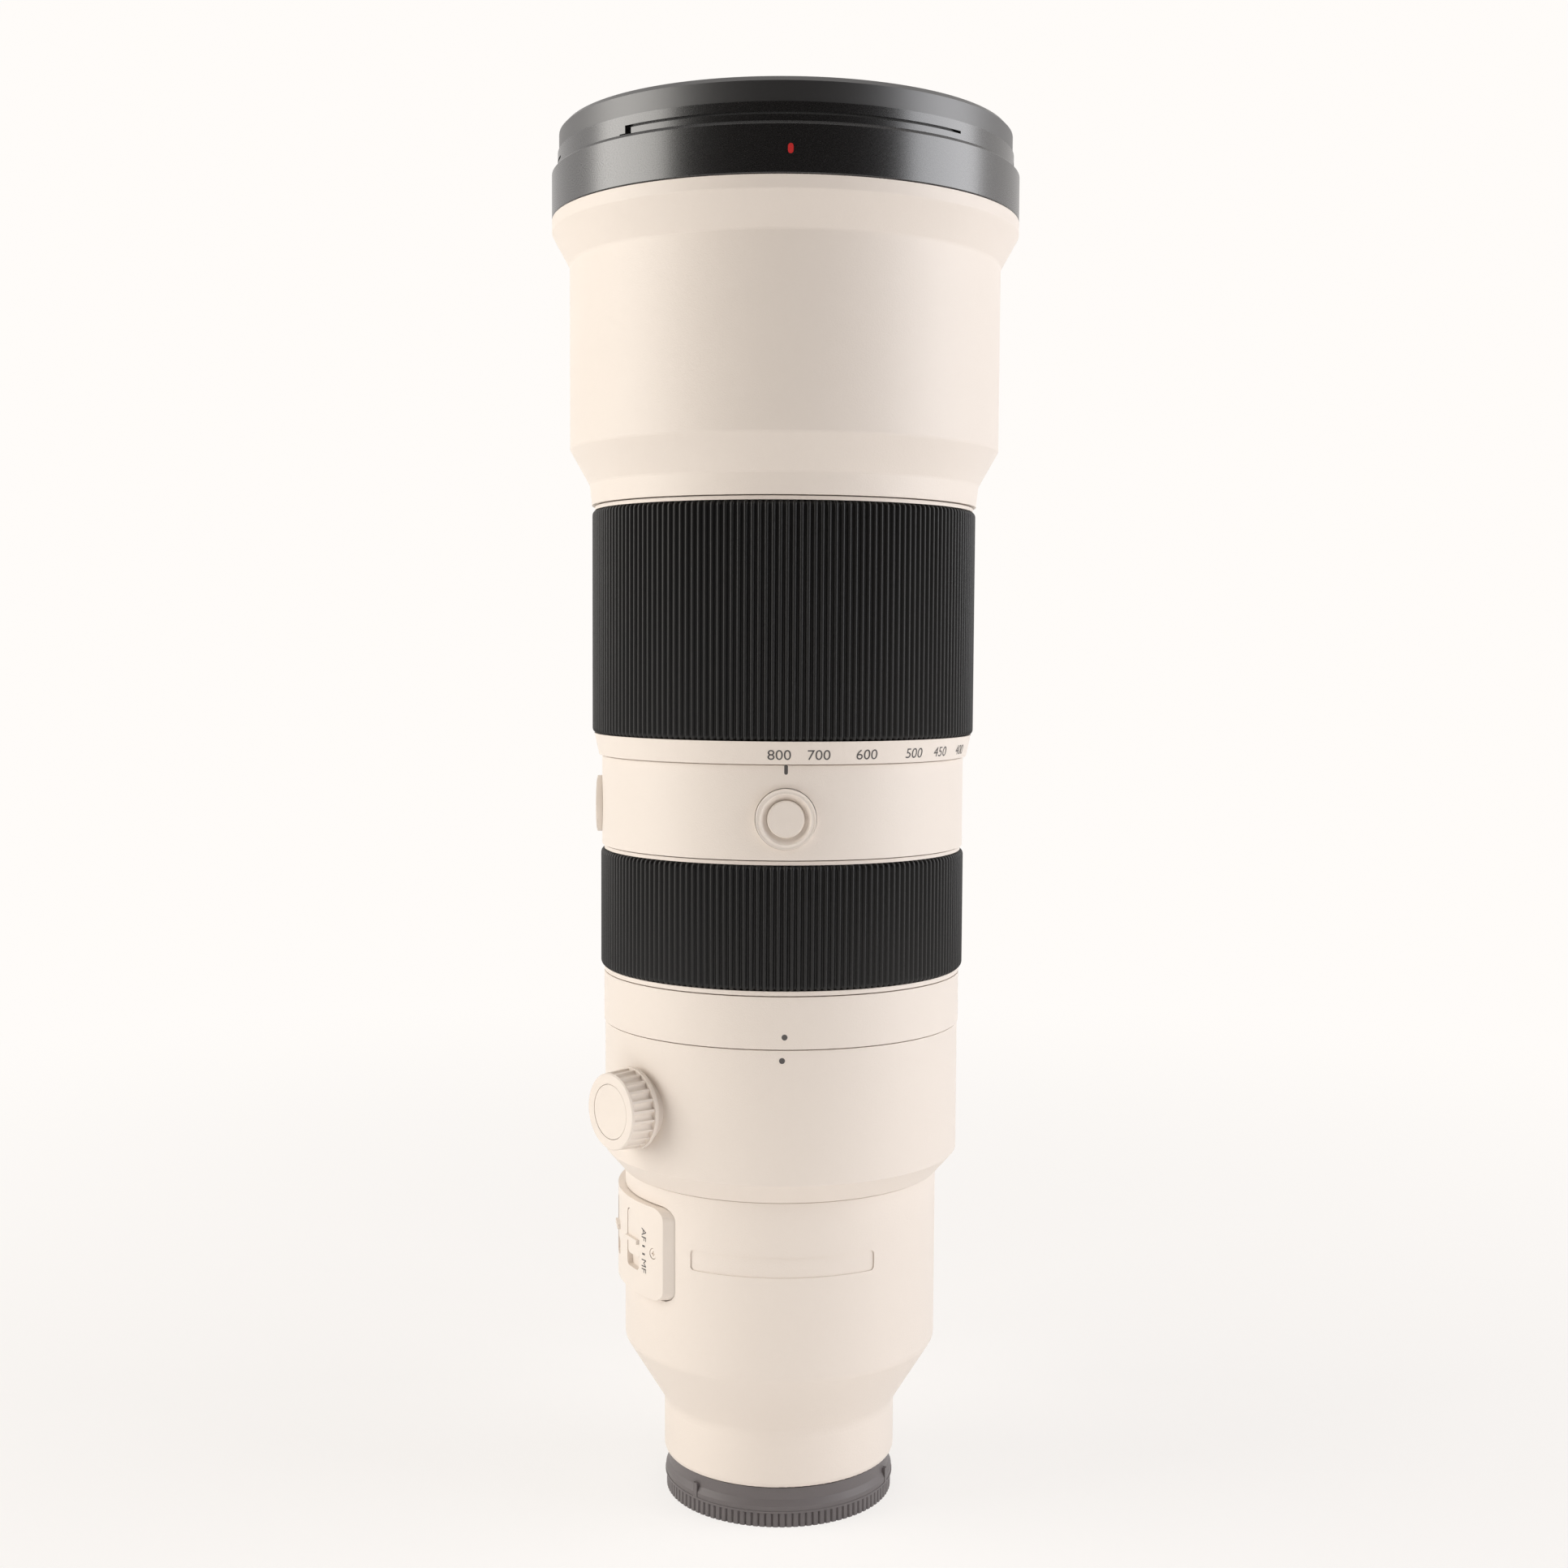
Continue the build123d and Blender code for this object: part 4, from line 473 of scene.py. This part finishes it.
def button_bezels():
    """Three bezels, each with a thin outer lip, a flat face, a rounded ridge and a hollow dish."""
    low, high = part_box("button_bezels")
    _, button_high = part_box("hold_button_top")
    top = -low.y
    button_collar_step = 0.89 * MM
    centre_height = (low.z + high.z) / 2
    outer = (high.z - low.z) / 2
    bore = button_high.x - button_collar_step
    bore_depth = 3.6 * MM
    wall_depth = 5.4 * MM
    wall_inside = outer - 1.0 * MM
    ridge = 6.15 * MM
    dish_depth = 1.5 * MM
    dish_power = 1.9
    dish_steps = 8
    face_depth = 0.13 * MM
    groove_radius = outer - 0.1 * MM
    profile = [(bore, -bore_depth)]
    for step in range(dish_steps + 1):
        share = step / dish_steps
        profile.append((bore + (ridge - bore) * share, -dish_depth * (1 - share ** dish_power)))
    ridge_edge = [(ridge + 0.12 * MM, 0.03 * MM), (ridge + 0.3 * MM, -0.06 * MM)]
    face = [(ridge + 0.42 * MM, -face_depth), (outer - 0.42 * MM, -face_depth)]
    lip = [(outer - 0.34 * MM, -0.03 * MM), (outer - 0.2 * MM, 0.0), (outer - 0.12 * MM, -0.08 * MM)]
    side = [(groove_radius, -0.25 * MM), (groove_radius, -wall_depth), (wall_inside, -wall_depth)]
    profile += ridge_edge + face + lip + side
    steps = 96
    vertices = []
    faces = []
    for azimuth in (0, -90, 180):
        outward = Vector(around(azimuth, 1, 0))
        across = outward.cross(Vector((0, 0, 1)))
        first = len(vertices)
        for step in range(steps):
            turn = 2 * math.pi * step / steps
            radial = across * math.cos(turn) + Vector((0, 0, math.sin(turn)))
            for radius, rise in profile:
                vertices.append(outward * (top + rise) + radial * radius + Vector((0, 0, centre_height)))
        count = len(profile)
        for step in range(steps):
            after = (step + 1) % steps
            for index in range(count):
                following = (index + 1) % count
                faces.append((
                    first + step * count + index, first + step * count + following,
                    first + after * count + following, first + after * count + index,
                ))
    bezels = add_mesh("button_rings", vertices, faces, white_plastic, "barrel")
    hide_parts("button_bezels")


button_bezels()


# Filter thread inside the front ring

def filter_thread():
    """The filter ring with its fine inner thread, which a filter screws into."""
    low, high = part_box("filter_ring")
    outer = node_radius("filter_ring")
    crest_radius = 51.96 * MM
    pitch = 1.0 * MM
    depth = 0.54 * MM
    plain_end = 1.0 * MM
    points_per_turn = 8
    steps = 240
    points = round((high.z - low.z) / pitch * points_per_turn)
    outline = [(outer, low.z), (outer, high.z)]
    for point in range(points + 1):
        outline.append((crest_radius, high.z + (low.z - high.z) * point / points))

    def thread_radius(index, radius, step):
        height = outline[index][1]
        if index < 2 or high.z - height < plain_end or height - low.z < plain_end:
            return radius
        phase = (height / pitch - step / steps) % 1
        return radius + depth * (1 - abs(2 * phase - 1))

    ring = lathe("filter_thread", outline, steps, thread_radius, black_metal, "barrel")
    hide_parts("filter_ring")


filter_thread()


# Camera at the photograph's angle

def place_camera():
    """The photograph's viewpoint, solved from the edges of the rings."""
    focal_pixels = 2485.92
    picture_pixels = 1932
    distance = 529.64 * MM
    height = 224.63 * MM
    sideways = 0.424 * MM
    pitch = 0.06944
    roll = 0.00566
    index_turn = math.radians(-1.1)
    data = bpy.data.cameras.new("camera")
    data.sensor_width = 36.0
    data.lens = focal_pixels / picture_pixels * data.sensor_width
    data.clip_start = 0.01
    camera = bpy.data.objects.new("camera", data)
    spot = Matrix.Rotation(index_turn, 4, "Z") @ Matrix.Translation((sideways, -distance, height))
    tilt = Matrix.Rotation(math.pi / 2 - pitch, 4, "X") @ Matrix.Rotation(roll, 4, "Z")
    camera.matrix_world = spot @ tilt
    bpy.context.scene.collection.objects.link(camera)
    bpy.context.scene.camera = camera


place_camera()


# Floor and light

backdrop_colour = (1.0, 0.972, 0.945, 1)


def seen_rays(tree, path):
    """One for a ray from the camera, seen straight or through glass, and zero for light."""
    either = tree.nodes.new("ShaderNodeMath")
    either.operation = "MAXIMUM"
    tree.links.new(path.outputs["Is Camera Ray"], either.inputs[0])
    tree.links.new(path.outputs["Is Transmission Ray"], either.inputs[1])
    return either.outputs[0]


def make_floor():
    """A plain pale floor that keeps the object's shadow and fades into the background far away."""
    half = 4.0
    shadow_radius = 0.1
    fade_radius = 0.75
    shadow_share = 0.25
    mesh = bpy.data.meshes.new("floor")
    corners = [(-half, -half, 0), (half, -half, 0), (half, half, 0), (-half, half, 0)]
    mesh.from_pydata(corners, [], [(0, 1, 2, 3)])
    floor = bpy.data.objects.new("floor", mesh)
    bpy.context.scene.collection.objects.link(floor)
    material, tree, shader = new_material("floor")
    shader.inputs["Base Color"].default_value = (1.0, 0.99, 0.98, 1)
    shader.inputs["Roughness"].default_value = 0.9
    shader.inputs["Specular IOR Level"].default_value = 0.0
    path = tree.nodes.new("ShaderNodeLightPath")
    glow = tree.nodes.new("ShaderNodeEmission")
    glow.inputs["Color"].default_value = backdrop_colour
    coordinates = tree.nodes.new("ShaderNodeTexCoord")
    distance = tree.nodes.new("ShaderNodeVectorMath")
    distance.operation = "LENGTH"
    tree.links.new(coordinates.outputs["Object"], distance.inputs[0])
    fade = tree.nodes.new("ShaderNodeMapRange")
    fade.interpolation_type = "SMOOTHSTEP"
    fade.inputs["From Min"].default_value = shadow_radius
    fade.inputs["From Max"].default_value = fade_radius
    fade.inputs["To Min"].default_value = 1 - shadow_share
    fade.inputs["To Max"].default_value = 1.0
    tree.links.new(distance.outputs["Value"], fade.inputs["Value"])
    seen = tree.nodes.new("ShaderNodeMath")
    seen.operation = "MAXIMUM"
    tree.links.new(seen_rays(tree, path), seen.inputs[0])
    tree.links.new(path.outputs["Is Glossy Ray"], seen.inputs[1])
    share = tree.nodes.new("ShaderNodeMath")
    share.operation = "MULTIPLY"
    tree.links.new(seen.outputs[0], share.inputs[0])
    tree.links.new(fade.outputs["Result"], share.inputs[1])
    mix = tree.nodes.new("ShaderNodeMixShader")
    tree.links.new(share.outputs[0], mix.inputs[0])
    tree.links.new(shader.outputs[0], mix.inputs[1])
    tree.links.new(glow.outputs[0], mix.inputs[2])
    tree.links.new(mix.outputs[0], tree.nodes["Material Output"].inputs["Surface"])
    mesh.materials.append(material)


def make_world():
    """A pale background for the camera, a darker front for reflections, and a low, even light."""
    dark_front = -0.65
    bright_back = 0.25
    front_strength = 0.02
    world = bpy.data.worlds.new("studio")
    bpy.context.scene.world = world
    world.use_nodes = True
    tree = world.node_tree
    tree.nodes.clear()
    path = tree.nodes.new("ShaderNodeLightPath")
    coordinates = tree.nodes.new("ShaderNodeTexCoord")
    axes = tree.nodes.new("ShaderNodeSeparateXYZ")
    tree.links.new(coordinates.outputs["Generated"], axes.inputs[0])
    room = tree.nodes.new("ShaderNodeMapRange")
    room.interpolation_type = "SMOOTHSTEP"
    room.inputs["From Min"].default_value = dark_front
    room.inputs["From Max"].default_value = bright_back
    room.inputs["To Min"].default_value = front_strength
    room.inputs["To Max"].default_value = 1.0
    tree.links.new(axes.outputs["Y"], room.inputs["Value"])

    def background(colour, strength=1.0):
        node = tree.nodes.new("ShaderNodeBackground")
        node.inputs["Color"].default_value = colour
        node.inputs["Strength"].default_value = strength
        return node

    def mixed(share, first, second):
        node = tree.nodes.new("ShaderNodeMixShader")
        tree.links.new(share, node.inputs[0])
        tree.links.new(first.outputs[0], node.inputs[1])
        tree.links.new(second.outputs[0], node.inputs[2])
        return node

    even = background((1.0, 0.935, 0.89, 1), strength=0.25)
    reflected = background((1.0, 0.97, 0.95, 1))
    tree.links.new(room.outputs["Result"], reflected.inputs["Strength"])
    seen = background(backdrop_colour)
    lit = mixed(path.outputs["Is Glossy Ray"], even, reflected)
    output = tree.nodes.new("ShaderNodeOutputWorld")
    tree.links.new(mixed(seen_rays(tree, path), lit, seen).outputs[0], output.inputs["Surface"])


def area_light(name, azimuth, distance, height, aim_height, width, length, power, colour):
    """A soft rectangular light that faces the axis of the lens at a height."""
    data = bpy.data.lights.new(name, "AREA")
    data.shape = "RECTANGLE"
    data.size = width
    data.size_y = length
    data.energy = power
    data.color = colour
    light = bpy.data.objects.new(name, data)
    light.location = around(azimuth, distance, height)
    aim = Vector((0, 0, aim_height)) - light.location
    light.rotation_euler = aim.to_track_quat("-Z", "Y").to_euler()
    light.visible_camera = False
    bpy.context.scene.collection.objects.link(light)


bpy.context.scene.view_settings.view_transform = "Standard"
make_floor()
make_world()
# An aim so far above the lens that the lamp faces straight up
straight_up = 60.0
area_light(
    "left_softbox", azimuth=-80, distance=1.1, height=0.62, aim_height=0.3,
    width=0.9, length=1.17, power=11.6, colour=(1.0, 0.97, 0.92),
)
area_light(
    "right_softbox", azimuth=80, distance=1.1, height=0.62, aim_height=0.3,
    width=0.9, length=1.17, power=10.8, colour=(0.965, 0.97, 1.0),
)
area_light(
    "low_bounce", azimuth=0, distance=0.2, height=0.03, aim_height=0.03,
    width=0.5, length=0.05, power=0.085, colour=(1.0, 0.96, 0.93),
)
area_light(
    "floor_bounce", azimuth=0, distance=0.42, height=0.005, aim_height=straight_up,
    width=0.8, length=0.35, power=0.34, colour=(1.0, 0.96, 0.93),
)
